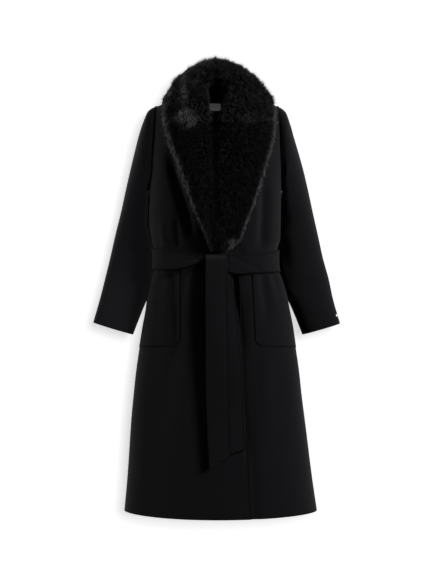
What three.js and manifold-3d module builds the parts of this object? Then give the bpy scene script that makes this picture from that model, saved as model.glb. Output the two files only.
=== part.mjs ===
import * as THREE from 'three';
import Module from 'manifold-3d';

// Belted wool coat with a long fur shawl collar, filled out as worn and open inside.
// Millimetres. +Z up, the front faces -Y, the wearer's right is -X.
// The origin lies between the shoulders at the height where the neck leaves them.

const wasm = await Module();
wasm.setup();

// Cloth
const WALL = 3;
const SEAM = 0.3;
const POCKET_WALL = 2.6;
const BELT_WALL = 5;
const TAIL_WALL = 4;

// Levels of the body
const HEM = -1138;
const UNDERARM = -249;
const CHEST = -200;
const RIDGE = 0;

// Shoulder and neck
const RIDGE_Y = 8;
const SHOULDER_REACH = 177;
const SHOULDER_TOP = 38;
const SHOULDER_SLOPE = 0.44;
const NECK_HALF = 70;
const BACK_NECK_DROP = 36;

// Side seams lie a little behind the sides, in radians round the ring
const SIDE_SEAM = 0.12;
const SEAM_ANGLE = 0.0011;

// Armhole: how far round the front and the back the body is cut away
const ARMHOLE_FRONT = 0.32;
const ARMHOLE_BACK = 0.37;
const ARMHOLE_WIDEST = -130;

function table(columns, rows) {
  const names = columns.split(' ');
  return rows.map((row) => Object.fromEntries(names.map((name, i) => [name, row[i]])));
}

// Rings of the body: reach to the wearer's right and left, depth to the front and back,
// and how square the front and back half of the ring are
const BODY = table('level right left front back square backSquare', [
  [-1138, 259, 279.5, 112, 116, 2.3, 2.1],
  [-1050, 251, 266.5, 109, 113, 2.35, 2.1],
  [-972, 245.5, 256.5, 107, 110, 2.4, 2.1],
  [-888, 240, 246, 105, 108, 2.45, 2.1],
  [-818, 233.5, 237, 103, 106, 2.5, 2.1],
  [-748, 226, 229.5, 101, 104, 2.5, 2.1],
  [-683, 216.5, 220, 99, 102, 2.5, 2.1],
  [-622, 206.5, 211, 97, 99, 2.5, 2.1],
  [-585, 199.5, 203.5, 95, 96, 2.5, 2.1],
  [-540, 193, 194.5, 92, 91, 2.5, 2.1],
  [-490, 181, 180, 88, 84, 2.5, 2.1],
  [-468, 176, 169.5, 86, 81, 2.5, 2.1],
  [-412, 175.5, 168, 86, 79, 2.5, 2.1],
  [-384, 183, 176, 90, 81, 2.5, 2.1],
  [-342, 190, 178, 95, 84, 2.5, 2.1],
  [-258, 190, 179.5, 100, 89, 2.5, 2.1],
  [-216, 188, 181.5, 100, 91, 2.5, 2.1],
  [-200, 187, 182, 99, 91, 2.5, 2.1],
]);
const HEM_DROP = 10;

// Rows of the body grid, from the hem to the underarm and from there to the shoulder
const LOWER_LEVELS = [
  HEM, -1062, -988, -914, -842, -770, -704, -640, -585, -534, -482, -464, -438, -412, -384, -344, -295,
];
const UPPER_LEVELS = [UNDERARM, -244, -228, -200, -172, -142, -112, -82, -50, -22, RIDGE];
const LEVELS = [...LOWER_LEVELS, ...UPPER_LEVELS];
const FRONT_COLUMNS = 15;
const BACK_COLUMNS = 22;

// Front edge of the upper front, from the hem over the waist to the neck point
const FRONT_EDGE = table('level x', [
  [HEM, 93],
  [-990, 86],
  [-820, 79],
  [-640, 67],
  [-480, 60],
  [-420, 52],
  [-330, 4],
  [-200, -36],
  [-100, -56],
  [RIDGE, -NECK_HALF],
]);

// Soft troughs: x where they start and end, levels, half width and depth
const FOLDS = table('face x foot top bottom width depth', [
  [-1, -120, -128, -472, -930, 21, 12],
  [-1, -118, -108, -285, -420, 15, 8],
  [-1, 134, 126, -205, -420, 15, 9],
  [-1, 124, 142, -474, -640, 14, 6],
  [-1, 103, 110, -620, -1040, 19, 8],
  [1, -92, -112, -470, -900, 23, 12],
  [1, 22, 34, -470, -760, 19, 8],
  [1, 112, 132, -470, -950, 23, 12],
  [1, -70, -60, -235, -425, 20, 8],
  [1, 68, 56, -260, -425, 20, 8],
]);

// Sleeve rings as seen from the front: outer and inner point of each ring, for the
// wearer's right and left sleeve, then half depth and set back
const SLEEVE = table('row rox roz rix riz lox loz lix liz deep back', [
  [0, -170, -6, -190, -243, 170, -6, 183, -243, 40, 2],
  [1, -192, -21, -194, -243, 191, -23, 185.5, -243, 46, 4],
  [2, -208, -56, -192, -250, 205, -58, 184, -250, 51, 8],
  [3, -220, -92, -190, -257, 216, -95, 180, -257, 54, 12],
  [4, -231, -134, -187, -265, 228, -134, 177, -265, 56, 17],
  [5, -244, -186, -184, -277, 243, -186, 173, -277, 56, 22],
  [6, -258.5, -248, -182, -300, 258, -248, 170, -300, 54, 27],
  [7, -272, -308, -179, -342, 272, -311, 168, -342, 51, 31],
  [8, -286.5, -365, -176, -392, 285.5, -370, 168, -392, 47, 33],
  [9, -300, -425, -174, -450, 299, -432, 167, -450, 43, 32],
  [10, -314, -485, -181, -512, 315, -492, 180, -512, 40, 26],
  [11, -329, -548, -209, -580, 327, -552, 212, -580, 37, 15],
  [12, -347, -614, -235, -648, 345, -617, 239, -648, 34, 5],
]);
// Room between a sleeve and the body beside it, wider at the belt and the pocket
const SLEEVE_ROOM = table('level room', [
  [-700, 5],
  [-560, 5],
  [-520, 3],
  [-484, 3.6],
  [-470, 9.5],
  [-410, 9.5],
  [-396, 7],
  [-370, 1.6],
  [-200, 1.2],
]);
const SLEEVE_STEPS = [0, 0.35, 1, 2, 3, 4, 5, 6, 7, 8, 8.7, 9.4, 10.2, 11.1, 12];
const SLEEVE_SQUARE = 2.15;

// Troughs of the sleeves: row, turn round the sleeve (0 inner, 1 front, 2 outer), slant, size
const SLEEVE_FOLDS = table('row turn slant width depth', [
  [6.9, 0.55, 0.5, 0.42, 6],
  [8.4, 0.6, -0.4, 0.36, 5],
  [9.6, 0.75, 0.5, 0.34, 4],
  [7.7, 3.2, 0.4, 0.4, 5],
]);

// Fur collar, one half from the front tip to the centre back. Over is the way below
// the shoulder ridge, front positive. Inner and outer edges are measured from the
// meeting line of the wings, then the heights of the inner edge, crest and outer edge.
const COLLAR_LINE = -5;
const COLLAR = table('over inner outRight outLeft outOver rise crest rim', [
  [418, 1.2, 9, 30, 418, 8, 10, 7],
  [404, 1.2, 19, 52, 404, 16, 22, 12],
  [377, 1.2, 25, 72, 377, 20, 28, 15],
  [350, 1.2, 39, 81, 350, 22, 30, 17],
  [323, 1.2, 52, 90, 323, 23, 31, 18],
  [290, 1.2, 66, 104, 290, 24, 32, 18],
  [256, 1.2, 78, 116, 256, 24, 32, 18],
  [220, 1.2, 92, 128, 220, 24, 33, 18],
  [192, 1.2, 103, 137, 192, 25, 34, 18],
  [168, 1.2, 119, 148, 168, 26, 36, 18],
  [142, 1.2, 134, 159, 142, 29, 39, 18],
  [110, 9, 143, 163, 110, 34, 46, 19],
  [82, 21, 146, 164, 82, 36, 54, 19],
  [54, 24, 147, 164, 54, 38, 66, 19],
  [26, 24, 147, 162, 26, 42, 76, 20],
  [0, 24, 146, 157, -4, 54, 83, 22],
  [-22, 23, 138, 146, -44, 60, 97, 24],
  [-38, 18, 114, 120, -84, 64, 116, 26],
  [-48, 10, 66, 68, -110, 66, 131, 26],
  [-52, 0, 0, 0, -118, 66, 137, 26],
]);
const COLLAR_LIFT = 2;
const COLLAR_POINTS = 7;
const COLLAR_STEPS = [
  0, 1, 2, 3, 4, 5, 6, 7, 8, 9, 10, 11, 12, 12.5, 13, 13.5, 14, 14.5, 15, 15.5, 16, 16.5, 17, 17.5, 18, 18.5,
];

// Belt: turn round the waist from the front centre, left positive, and its two edges
const BELT = table('turn top bottom', [
  [-180, -408, -472],
  [-90, -406, -468],
  [-48, -411, -468],
  [-28, -421, -464],
  [-17, -427, -456],
  [-9, -431, -449],
  [10, -428, -478],
  [29, -426, -478],
  [54, -419, -477],
  [90, -410, -475],
  [180, -408, -472],
]);
const BELT_LIFT = 2;
const BELT_COLUMNS = 44;
const KNOT = { right: -27.5, left: 32, top: -429, bottom: -480, thick: 12.5 };

// Tails: level, x of the two edges, lift off the body; the last rows end on a slant
const FRONT_TAIL = table('level right left lift', [
  [-1005, -21, 38, 9],
  [-900, -27, 34, 10],
  [-760, -31, 31, 13],
  [-640, -31, 29, 15],
  [-560, -31, 28, 15.6],
  [-483, -31, 27, 14.2],
  [-426, -31, 26, 14.2],
]);
const BACK_TAIL = table('level right left lift', [
  [-970, 17, 77, 2],
  [-880, 13, 73, 3],
  [-760, 7, 67, 5],
  [-640, -2, 58, 6],
  [-560, -10, 49, 5],
  [-480.5, -22, 38, 3],
]);
const FRONT_TAIL_SLANT = 33;
const BACK_TAIL_SLANT = 13;

// Pockets: inner edge at the top and bottom, round the side to the side seam
const POCKET = { top: -482.2, bottom: -676, sideBottom: -685, corner: 22 };
const POCKET_EDGE = { right: [-102.5, -102], left: [97, 105] };
const POCKET_LEVELS = [-704, -640, -585, -534, -482];

const NECK_LABEL = { width: 43, top: 7, bottom: -13, wall: 0.8 };
const CUFF_TAG = { turn: 1.72, low: 11.6, high: 11.68, halfWidth: 0.06, wall: 1.1 };

const mix = (a, b, t) => a + (b - a) * t;
const clamp01 = (t) => Math.min(1, Math.max(0, t));
const ease = (t) => clamp01(t) ** 2 * (3 - 2 * clamp01(t));
const signedPower = (value, power) => Math.sign(value) * Math.abs(value) ** power;

// Smooth reading of every column of a table at one value of its key column
function sample(rows, key, at) {
  const ordered = rows[0][key] < rows[1][key] ? rows : [...rows].reverse();
  const last = ordered.length - 1;
  const spot = Math.min(Math.max(at, ordered[0][key]), ordered[last][key]);
  let i = 0;
  while (i < last - 1 && ordered[i + 1][key] < spot) i++;
  const span = ordered[i + 1][key] - ordered[i][key];
  const t = (spot - ordered[i][key]) / span;
  const slope = (j, name) => {
    const a = ordered[Math.max(j - 1, 0)];
    const b = ordered[Math.min(j + 1, last)];
    return (b[name] - a[name]) / (b[key] - a[key]);
  };
  const found = {};
  for (const name of Object.keys(ordered[0])) {
    const a = ordered[i][name];
    const b = ordered[i + 1][name];
    const bend = t * (1 - t) * span * ((1 - t) * slope(i, name) - t * slope(i + 1, name));
    found[name] = a + (b - a) * (3 * t * t - 2 * t * t * t) + bend;
  }
  return found;
}

// Height of the shoulder ridge, level over the neck and falling to the shoulder points
function shoulderHeight(x) {
  const past = Math.abs(x) - 62;
  return SHOULDER_TOP - (SHOULDER_SLOPE * (past + Math.hypot(past, 15))) / 2;
}

// Ring of the body at a level, with its reach narrowing to the shoulder ridge
function ringAt(level) {
  const ring = sample(BODY, 'level', Math.min(level, CHEST));
  const rise = (clamp01((level - CHEST) / (RIDGE - CHEST)) * Math.PI) / 2;
  const narrowing = 1 - Math.cos(rise);
  ring.left = mix(ring.left, SHOULDER_REACH, narrowing);
  ring.right = mix(ring.right, SHOULDER_REACH, narrowing);
  return { ...ring, rise };
}

// Outer face of the coat with no folds: theta runs round from the wearer's left
function skin(theta, level) {
  const ring = ringAt(level);
  const square = Math.sin(theta) > 0 ? ring.backSquare : ring.square;
  const across = signedPower(Math.cos(theta), 2 / square);
  const through = signedPower(Math.sin(theta), 2 / square);
  const x = across * (across > 0 ? ring.left : ring.right);
  const depth = through * (through > 0 ? ring.back : ring.front);
  const y = mix(RIDGE_Y, depth, Math.cos(ring.rise));
  const lowered = level - HEM_DROP * (1 - across * across) * ease((-900 - level) / 200);
  const z = level <= CHEST ? lowered : mix(CHEST, shoulderHeight(x), Math.sin(ring.rise));
  return new THREE.Vector3(x, y, z);
}

// Angle on the front half of the ring that has the given x
function frontAngle(x, level) {
  const ring = ringAt(level);
  const share = clamp01(Math.abs(x) / (x > 0 ? ring.left : ring.right));
  const turn = Math.acos(share ** (ring.square / 2));
  return x > 0 ? -turn : turn - Math.PI;
}

// Unit normal of a surface given as a function of two numbers
function normalOf(surface, u, v, stepU, stepV) {
  const alongU = surface(u + stepU, v).sub(surface(u - stepU, v));
  const alongV = surface(u, v + stepV).sub(surface(u, v - stepV));
  return alongU.cross(alongV).normalize();
}

const skinNormal = (theta, level) => normalOf(skin, theta, Math.min(level, -1.5), 0.004, 1);

function foldDepth(point) {
  let sum = 0;
  for (const fold of FOLDS) {
    const along = (fold.top - point.z) / (fold.top - fold.bottom);
    if (along <= 0 || along >= 1 || fold.face * (point.y - RIDGE_Y) < 0) continue;
    const off = (point.x - mix(fold.x, fold.foot, along)) / fold.width;
    sum += fold.depth * Math.exp(-off * off) * Math.sin(Math.PI * Math.sqrt(along)) ** 0.8;
  }
  return sum;
}

// Outer face of the coat with its troughs
function draped(theta, level) {
  const point = skin(theta, level);
  return point.addScaledVector(skinNormal(theta, level), -foldDepth(point));
}

// Share of the armhole's width at a level, nothing at the underarm
function armholeShare(level) {
  if (level <= UNDERARM) return 0;
  const below = clamp01((ARMHOLE_WIDEST - level) / (ARMHOLE_WIDEST - UNDERARM));
  return Math.sqrt(1 - below * below);
}

// Edge of a body panel at the side seam and armhole: side -1 right, 1 left; face -1 front, 1 back
function sideEdge(side, face, level) {
  const opening = armholeShare(level);
  const reach = face < 0 ? -ARMHOLE_FRONT : ARMHOLE_BACK;
  const turn = mix(SIDE_SEAM + face * SEAM_ANGLE, reach, opening);
  if (side > 0) return turn;
  return face < 0 ? -Math.PI - turn : Math.PI - turn;
}

// Grid of outer points and normals; surface(u, v) gives each point
function gridOf(columns, rows, pointAt, normalAt) {
  const points = rows.map((v) => columns.map((u) => pointAt(u, v)));
  const normals = rows.map((v) => columns.map((u) => normalAt(u, v)));
  return { points, normals };
}

const steps = (count) => Array.from({ length: count + 1 }, (_, i) => i / count);

// Point on the faceted outer face of a grid, u along a row and v along the rows, with lift
function onGrid(grid, u, v, lift) {
  const i = Math.min(Math.floor(u), grid.points[0].length - 2);
  const j = Math.min(Math.floor(v), grid.points.length - 2);
  const fu = u - i;
  const fv = v - j;
  const blend = (set) => {
    const corner = fu >= fv ? set[j][i + 1] : set[j + 1][i];
    const sum = new THREE.Vector3().addScaledVector(set[j][i], 1 - Math.max(fu, fv));
    sum.addScaledVector(corner, Math.abs(fu - fv));
    return sum.addScaledVector(set[j + 1][i + 1], Math.min(fu, fv));
  };
  return blend(grid.points).addScaledVector(blend(grid.normals), lift);
}

// Geometry from vertices and faces, turned to face outwards
function solid(vertices, faces) {
  let volume = 0;
  const cross = new THREE.Vector3();
  for (const [a, b, c] of faces) {
    volume += cross.crossVectors(vertices[b], vertices[c]).dot(vertices[a]);
  }
  const index = faces.flatMap(([a, b, c]) => (volume > 0 ? [a, b, c] : [a, c, b]));
  const geometry = new THREE.BufferGeometry();
  geometry.setAttribute(
    'position',
    new THREE.Float32BufferAttribute(vertices.flatMap((v) => v.toArray()), 3),
  );
  geometry.setIndex(index);
  return geometry;
}

// Cloth between two grids of the same size; closed grids join their last column to the first
function between(outer, inner, closed = false) {
  const rowCount = outer.length;
  const columnCount = outer[0].length;
  const vertices = [...outer.flat(), ...inner.flat()];
  const far = rowCount * columnCount;
  const at = (j, i) => j * columnCount + (i % columnCount);
  const faces = [];
  const quad = (a, b, c, d) => faces.push([a, b, c], [a, c, d]);
  const lastColumn = closed ? columnCount : columnCount - 1;
  for (let j = 0; j < rowCount - 1; j++) {
    for (let i = 0; i < lastColumn; i++) {
      quad(at(j, i), at(j, i + 1), at(j + 1, i + 1), at(j + 1, i));
      faces.push([far + at(j, i), far + at(j + 1, i + 1), far + at(j, i + 1)]);
      faces.push([far + at(j, i), far + at(j + 1, i), far + at(j + 1, i + 1)]);
    }
  }
  for (let i = 0; i < lastColumn; i++) {
    quad(at(0, i), far + at(0, i), far + at(0, i + 1), at(0, i + 1));
    const top = rowCount - 1;
    quad(at(top, i), at(top, i + 1), far + at(top, i + 1), far + at(top, i));
  }
  if (!closed) {
    for (let j = 0; j < rowCount - 1; j++) {
      quad(at(j, 0), at(j + 1, 0), far + at(j + 1, 0), far + at(j, 0));
      const end = columnCount - 1;
      quad(at(j, end), far + at(j, end), far + at(j + 1, end), at(j + 1, end));
    }
  }
  return solid(vertices, faces);
}

function wallOf(grid, thickness, closed = false) {
  const inner = grid.points.map((row, j) =>
    row.map((point, i) => point.clone().addScaledVector(grid.normals[j][i], -thickness)),
  );
  return between(grid.points, inner, closed);
}

// Fronts: columns run from the side seam or armhole to the front edge or neckline
function frontGrid(side) {
  const edgeAngle = (level) => {
    const x = sample(FRONT_EDGE, 'level', level).x;
    return frontAngle(side < 0 ? x : -x, level);
  };
  const angle = (u, level) => mix(sideEdge(side, -1, level), edgeAngle(level), u);
  const tuck = (point) => {
    if (side < 0) return 0;
    const edge = sample(FRONT_EDGE, 'level', Math.min(point.z, RIDGE)).x;
    const inside = ease((edge + 30 - point.x) / 22);
    return inside * (WALL + 4 * SEAM);
  };
  const surface = (u, level) => {
    const theta = angle(u, level);
    const point = draped(theta, level);
    point.addScaledVector(skinNormal(theta, level), -tuck(point));
    if (level === RIDGE) point.y -= SEAM / 2;
    return point;
  };
  const normal = (u, level) => {
    const found = normalOf(surface, u, Math.min(level, -1.5), 0.004, 1).multiplyScalar(-side);
    return level === RIDGE ? found.setY(0).normalize() : found;
  };
  return gridOf(steps(FRONT_COLUMNS), LEVELS, surface, normal);
}

// Back: columns run from the wearer's left to the right, the top row dips round the neck
function backGrid() {
  const angle = (u, level) => mix(sideEdge(1, 1, level), sideEdge(-1, 1, level), u);
  const lowered = (u, level) => {
    if (level <= CHEST) return level;
    const x = skin(angle(u, RIDGE), RIDGE).x;
    const dip = BACK_NECK_DROP * (1 - clamp01(Math.abs(x) / NECK_HALF) ** 2.5);
    return mix(CHEST, RIDGE - dip, (level - CHEST) / (RIDGE - CHEST));
  };
  const surface = (u, level) => {
    const point = draped(angle(u, level), lowered(u, level));
    if (level === RIDGE) point.y += SEAM / 2;
    return point;
  };
  const normal = (u, level) => {
    const found = normalOf(surface, u, Math.min(level, -1.5), 0.004, 1);
    return level === RIDGE ? found.setY(0).normalize() : found;
  };
  return gridOf(steps(BACK_COLUMNS), LEVELS, surface, normal);
}

// Edge of the armhole for a turn of 0 at the underarm, 2 at the shoulder and 4 back again
function armholePoint(side, turn) {
  const face = turn <= 2 ? -1 : 1;
  const place = ((turn <= 2 ? turn : 4 - turn) / 2) * (UPPER_LEVELS.length - 1);
  const i = Math.min(Math.floor(place), UPPER_LEVELS.length - 2);
  const level = mix(UPPER_LEVELS[i], UPPER_LEVELS[i + 1], place - i);
  const point = draped(sideEdge(side, face, level), level);
  point.x += side * 4 * SEAM;
  point.z += 6 * SEAM * armholeUnder(turn);
  return point;
}

const armholeUnder = (turn) => Math.cos((turn * Math.PI) / 4) ** 6;

function sleeveSurface(side, turn, row) {
  const ring = sample(SLEEVE, 'row', row);
  const outer = side < 0 ? [ring.rox, ring.roz] : [ring.lox, ring.loz];
  const inner = side < 0 ? [ring.rix, ring.riz] : [ring.lix, ring.liz];
  const out = -signedPower(Math.cos((turn * Math.PI) / 2), 2 / SLEEVE_SQUARE);
  const front = signedPower(Math.sin((turn * Math.PI) / 2), 2 / SLEEVE_SQUARE);
  const point = new THREE.Vector3(
    mix(inner[0], outer[0], (1 + out) / 2),
    ring.back - front * ring.deep,
    mix(inner[1], outer[1], (1 + out) / 2),
  );
  keepBeside(side, point);
  const joined = 1 - ease(row / 1.2);
  return joined > 0 ? point.lerp(armholePoint(side, (turn + 4) % 4), joined) : point;
}

// Moves a point of a sleeve out to the side of the body where it would lie inside it
function keepBeside(side, point) {
  if (point.z > CHEST) return;
  const ring = ringAt(point.z);
  const [depth, square] = point.y > 0 ? [ring.back, ring.backSquare] : [ring.front, ring.square];
  const share = clamp01(Math.abs(point.y) / depth);
  const reach = (side > 0 ? ring.left : ring.right) * (1 - share ** square) ** (1 / square);
  const least = reach + sample(SLEEVE_ROOM, 'level', point.z).room;
  const out = side * point.x;
  point.x = (side * (out + least + Math.hypot(out - least, 3))) / 2;
}

function sleeveTrough(turn, row) {
  let sum = 0;
  for (const fold of SLEEVE_FOLDS) {
    const gap = ((turn - fold.turn + 6) % 4) - 2;
    const off = (row - fold.row - fold.slant * gap) / fold.width;
    sum += fold.depth * Math.exp(-off * off - gap * gap * 1.6);
  }
  return sum;
}

function sleeveGrid(side) {
  const ends = 2 * (UPPER_LEVELS.length - 1);
  const turns = Array.from({ length: ends }, (_, i) => (4 * i) / ends);
  const plain = (turn, row) => sleeveSurface(side, turn, row);
  const plainNormal = (turn, row) =>
    normalOf(plain, turn, Math.min(Math.max(row, 0.06), 11.97), 0.02, 0.05).multiplyScalar(-side);
  const surface = (turn, row) =>
    plain(turn, row).addScaledVector(plainNormal(turn, row), -sleeveTrough(turn, row));
  const normal = (turn, row) => {
    const place = Math.min(Math.max(row, 0.06), 11.97);
    const found = normalOf(surface, turn, place, 0.02, 0.05).multiplyScalar(-side);
    return row === 0 ? found.setX(0).normalize() : found;
  };
  return gridOf(turns, SLEEVE_STEPS, surface, normal);
}

// Fur collar: each station is a closed section on the body, tall at its crest
function collarStation(side, row) {
  const reach = side < 0 ? row.outRight : row.outLeft;
  const spot = (v) => {
    const over = mix(row.over, row.outOver, v);
    const x = COLLAR_LINE + side * mix(row.inner, reach, v);
    const level = -Math.abs(over);
    const angle = frontAngle(x, level);
    return { theta: over >= 0 ? angle : -angle, level };
  };
  const lean = ease((70 - row.over) / 80);
  const under = [];
  const upper = [];
  for (let k = 0; k < COLLAR_POINTS; k++) {
    const v = k / (COLLAR_POINTS - 1);
    const { theta, level } = spot(v);
    const normal = skinNormal(theta, level);
    const base = skin(theta, level).addScaledVector(normal, COLLAR_LIFT);
    const tall =
      v < 0.2
        ? mix(row.rise, row.crest, Math.sin((v / 0.2) * (Math.PI / 2)))
        : mix(row.crest, row.rim, (v - 0.2) / 0.8);
    const rounded = v > 0.8 ? Math.sqrt(1 - 0.75 * ((v - 0.8) / 0.2) ** 2) : 1;
    const up = new THREE.Vector3(0, 0, 1.6 * lean * (1 - 0.7 * v)).add(normal).normalize();
    under.push(base);
    upper.push(base.clone().addScaledVector(up, tall * rounded));
  }
  return [...under, ...upper.reverse()];
}

function collarSolid() {
  const numbered = COLLAR.map((row, number) => ({ ...row, number }));
  const places = [...COLLAR_STEPS, COLLAR.length - 1];
  const rows = places.map((place) => sample(numbered, 'number', place));
  const right = rows.map((row) => collarStation(-1, row));
  const left = rows.slice(0, -1).map((row) => collarStation(1, row));
  const stations = [...right, ...left.reverse()];
  const size = stations[0].length;
  const vertices = stations.flat();
  const faces = [];
  for (let j = 0; j < stations.length - 1; j++) {
    for (let i = 0; i < size; i++) {
      const a = j * size + i;
      const b = j * size + ((i + 1) % size);
      faces.push([a, b, b + size], [a, b + size, a + size]);
    }
  }
  const last = (stations.length - 1) * size;
  for (let i = 0; i < size / 2 - 1; i++) {
    const far = size - 1 - i;
    faces.push([i, far, far - 1], [i, far - 1, i + 1]);
    faces.push([last + i, last + far - 1, last + far], [last + i, last + i + 1, last + far - 1]);
  }
  return solid(vertices, faces);
}

// Point of the waist at a turn from the front centre, lifted off the coat
function waistPoint(turn, level, lift) {
  const theta = -Math.PI / 2 + THREE.MathUtils.degToRad(turn);
  return skin(theta, level).addScaledVector(skinNormal(theta, level), lift);
}

function beltSolid() {
  const turns = steps(BELT_COLUMNS).map((t) => mix(7.4, 354, t));
  const at = (turn, share) => {
    const edges = sample(BELT, 'turn', turn > 180 ? turn - 360 : turn);
    return mix(edges.bottom, edges.top, share);
  };
  const layer = (lift) =>
    steps(2).map((share) => turns.map((turn) => waistPoint(turn, at(turn, share), lift)));
  return between(layer(BELT_LIFT + BELT_WALL), layer(BELT_LIFT));
}

// Strip that hangs on the front: x and level of each point come from the tail's table
function tailSolid(rows, slant, columns = 4) {
  const layer = (extra) =>
    rows.map((row, j) =>
      steps(columns).map((share) => {
        const x = mix(row.right, row.left, share);
        const raised = slant * share * Math.max(0, 1 - j);
        const level = row.level + raised;
        const theta = frontAngle(x, level);
        return skin(theta, level).addScaledVector(skinNormal(theta, level), row.lift + extra);
      }),
    );
  return between(layer(TAIL_WALL), layer(0));
}

function finer(rows, count) {
  const first = rows[0].level;
  const last = rows[rows.length - 1].level;
  return steps(count).map((t) => sample(rows, 'level', mix(first, last, t)));
}

// Tied turn of the belt between its two ends, puffed in the middle
function knotSolid() {
  const layer = (puff) =>
    steps(4).map((v) =>
      steps(6).map((u) => {
        const x = mix(KNOT.right, KNOT.left, u);
        const level = mix(KNOT.bottom, KNOT.top, v);
        const theta = frontAngle(x, level);
        const round = Math.sqrt(Math.sin(Math.PI * mix(0.12, 0.88, u)) * Math.sin(Math.PI * mix(0.2, 0.8, v)));
        const lift = BELT_LIFT + puff * KNOT.thick * round;
        return skin(theta, level).addScaledVector(skinNormal(theta, level), lift);
      }),
    );
  return between(layer(1), layer(0));
}

// Patch pocket on a front: made from its points moved out, cut to its outline
function pocketSolid(side, grid) {
  const rows = POCKET_LEVELS.map((level) => LEVELS.indexOf(level));
  const columns = [0.06, 1, 2, 3, 4, 5, 6, 7, 8, 9];
  const layer = (lift) => rows.map((v) => columns.map((u) => onGrid(grid, u, v, lift)));
  const slab = manifoldOf(between(layer(SEAM + 0.05 + POCKET_WALL), layer(SEAM + 0.05)));
  const [topX, bottomX] = side < 0 ? POCKET_EDGE.right : POCKET_EDGE.left;
  const outline = [[side * 300, POCKET.sideBottom], [side * 300, POCKET.top], [topX, POCKET.top]];
  for (let k = 0; k <= 5; k++) {
    const a = (k / 5) * (Math.PI / 2);
    outline.push([
      bottomX + side * POCKET.corner * (1 - Math.cos(a)),
      POCKET.bottom + POCKET.corner * (1 - Math.sin(a)),
    ]);
  }
  if (side < 0) outline.reverse();
  const cutter = wasm.Manifold.extrude(new wasm.CrossSection([outline], 'Positive'), 500)
    .rotate([90, 0, 0])
    .translate([0, 150, 0]);
  return geometryOf(slab.intersect(cutter));
}

function manifoldOf(geometry) {
  return new wasm.Manifold(
    new wasm.Mesh({
      numProp: 3,
      vertProperties: geometry.getAttribute('position').array,
      triVerts: new Uint32Array(geometry.index.array),
    }),
  );
}

function geometryOf(body) {
  const mesh = body.getMesh();
  const geometry = new THREE.BufferGeometry();
  geometry.setAttribute('position', new THREE.BufferAttribute(mesh.vertProperties, 3));
  geometry.setIndex(new THREE.BufferAttribute(mesh.triVerts, 1));
  return geometry;
}

// Blank woven label inside the back, below the neckline
function labelSolid(back) {
  const middle = BACK_COLUMNS / 2;
  const columnAt = (x) => {
    const row = back.points[LEVELS.length - 4];
    const j = row.findIndex((point, k) => k > 0 && point.x <= x);
    return j - 1 + (row[j - 1].x - x) / (row[j - 1].x - row[j].x);
  };
  const rowAt = (z) => {
    const j = back.points.findIndex((row, k) => k > 0 && row[middle].z >= z);
    const [a, b] = [back.points[j - 1][middle].z, back.points[j][middle].z];
    return j - 1 + (z - a) / (b - a);
  };
  const rows = steps(2).map((t) => rowAt(mix(NECK_LABEL.bottom, NECK_LABEL.top, t)));
  const columns = steps(4).map((t) => columnAt(mix(0.5, -0.5, t) * NECK_LABEL.width + COLLAR_LINE));
  const layer = (lift) => rows.map((v) => columns.map((u) => onGrid(back, u, v, lift)));
  const face = -WALL - SEAM - 0.15;
  return between(layer(face), layer(face - NECK_LABEL.wall));
}

// Small plain plate at the outer edge of the left cuff
function tagSolid() {
  const layer = (lift) =>
    [CUFF_TAG.low, CUFF_TAG.high].map((row) =>
      [-1, 1].map((share) => {
        const turn = CUFF_TAG.turn + share * CUFF_TAG.halfWidth;
        const point = sleeveSurface(1, turn, row);
        const plain = (a, b) => sleeveSurface(1, a, b);
        return point.addScaledVector(normalOf(plain, turn, row, 0.02, 0.05), -lift);
      }),
    );
  return between(layer(0.6 + CUFF_TAG.wall), layer(0.6));
}

// Finishes
const wool = () => new THREE.MeshStandardMaterial({ color: 0x15161a, roughness: 0.93, metalness: 0 });
const fur = () => new THREE.MeshStandardMaterial({ color: 0x0e0e10, roughness: 0.6, metalness: 0 });
const woven = () => new THREE.MeshStandardMaterial({ color: 0x8d8f94, roughness: 0.7, metalness: 0 });
const steel = () => new THREE.MeshStandardMaterial({ color: 0xc9ccd0, roughness: 0.3, metalness: 1 });

const group = new THREE.Group();
group.name = 'belted_coat';

function add(name, geometry, material) {
  const mesh = new THREE.Mesh(geometry, material);
  mesh.name = name;
  group.add(mesh);
}

const back = backGrid();
const frontRight = frontGrid(-1);
const frontLeft = frontGrid(1);

add('back', wallOf(back, WALL), wool());
add('front_right', wallOf(frontRight, WALL), wool());
add('front_left', wallOf(frontLeft, WALL), wool());
add('sleeve_right', wallOf(sleeveGrid(-1), WALL, true), wool());
add('sleeve_left', wallOf(sleeveGrid(1), WALL, true), wool());
add('fur_collar', collarSolid(), fur());
add('pocket_right', pocketSolid(-1, frontRight), wool());
add('pocket_left', pocketSolid(1, frontLeft), wool());
add('belt', beltSolid(), wool());
add('belt_knot', knotSolid(), wool());
add('belt_tail_front', tailSolid(finer(FRONT_TAIL, 10), FRONT_TAIL_SLANT), wool());
add('belt_tail_back', tailSolid(finer(BACK_TAIL, 8), BACK_TAIL_SLANT), wool());
add('neck_label', labelSolid(back), woven());
add('cuff_tag', tagSolid(), steel());

export default group;
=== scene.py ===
"""Belted black wool coat with a long fur shawl collar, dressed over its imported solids.

Shapes are worked out in millimetres in the coat's own frame: +Z up, the front faces -Y and the
wearer's right is at -X. They become metres when a mesh is made. Cloth is a thin closed shell
whose outer face is a function of two parameters, and fur is many short tapered strands.
"""

import logging
import math
from dataclasses import dataclass, field, replace
from enum import Enum

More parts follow.
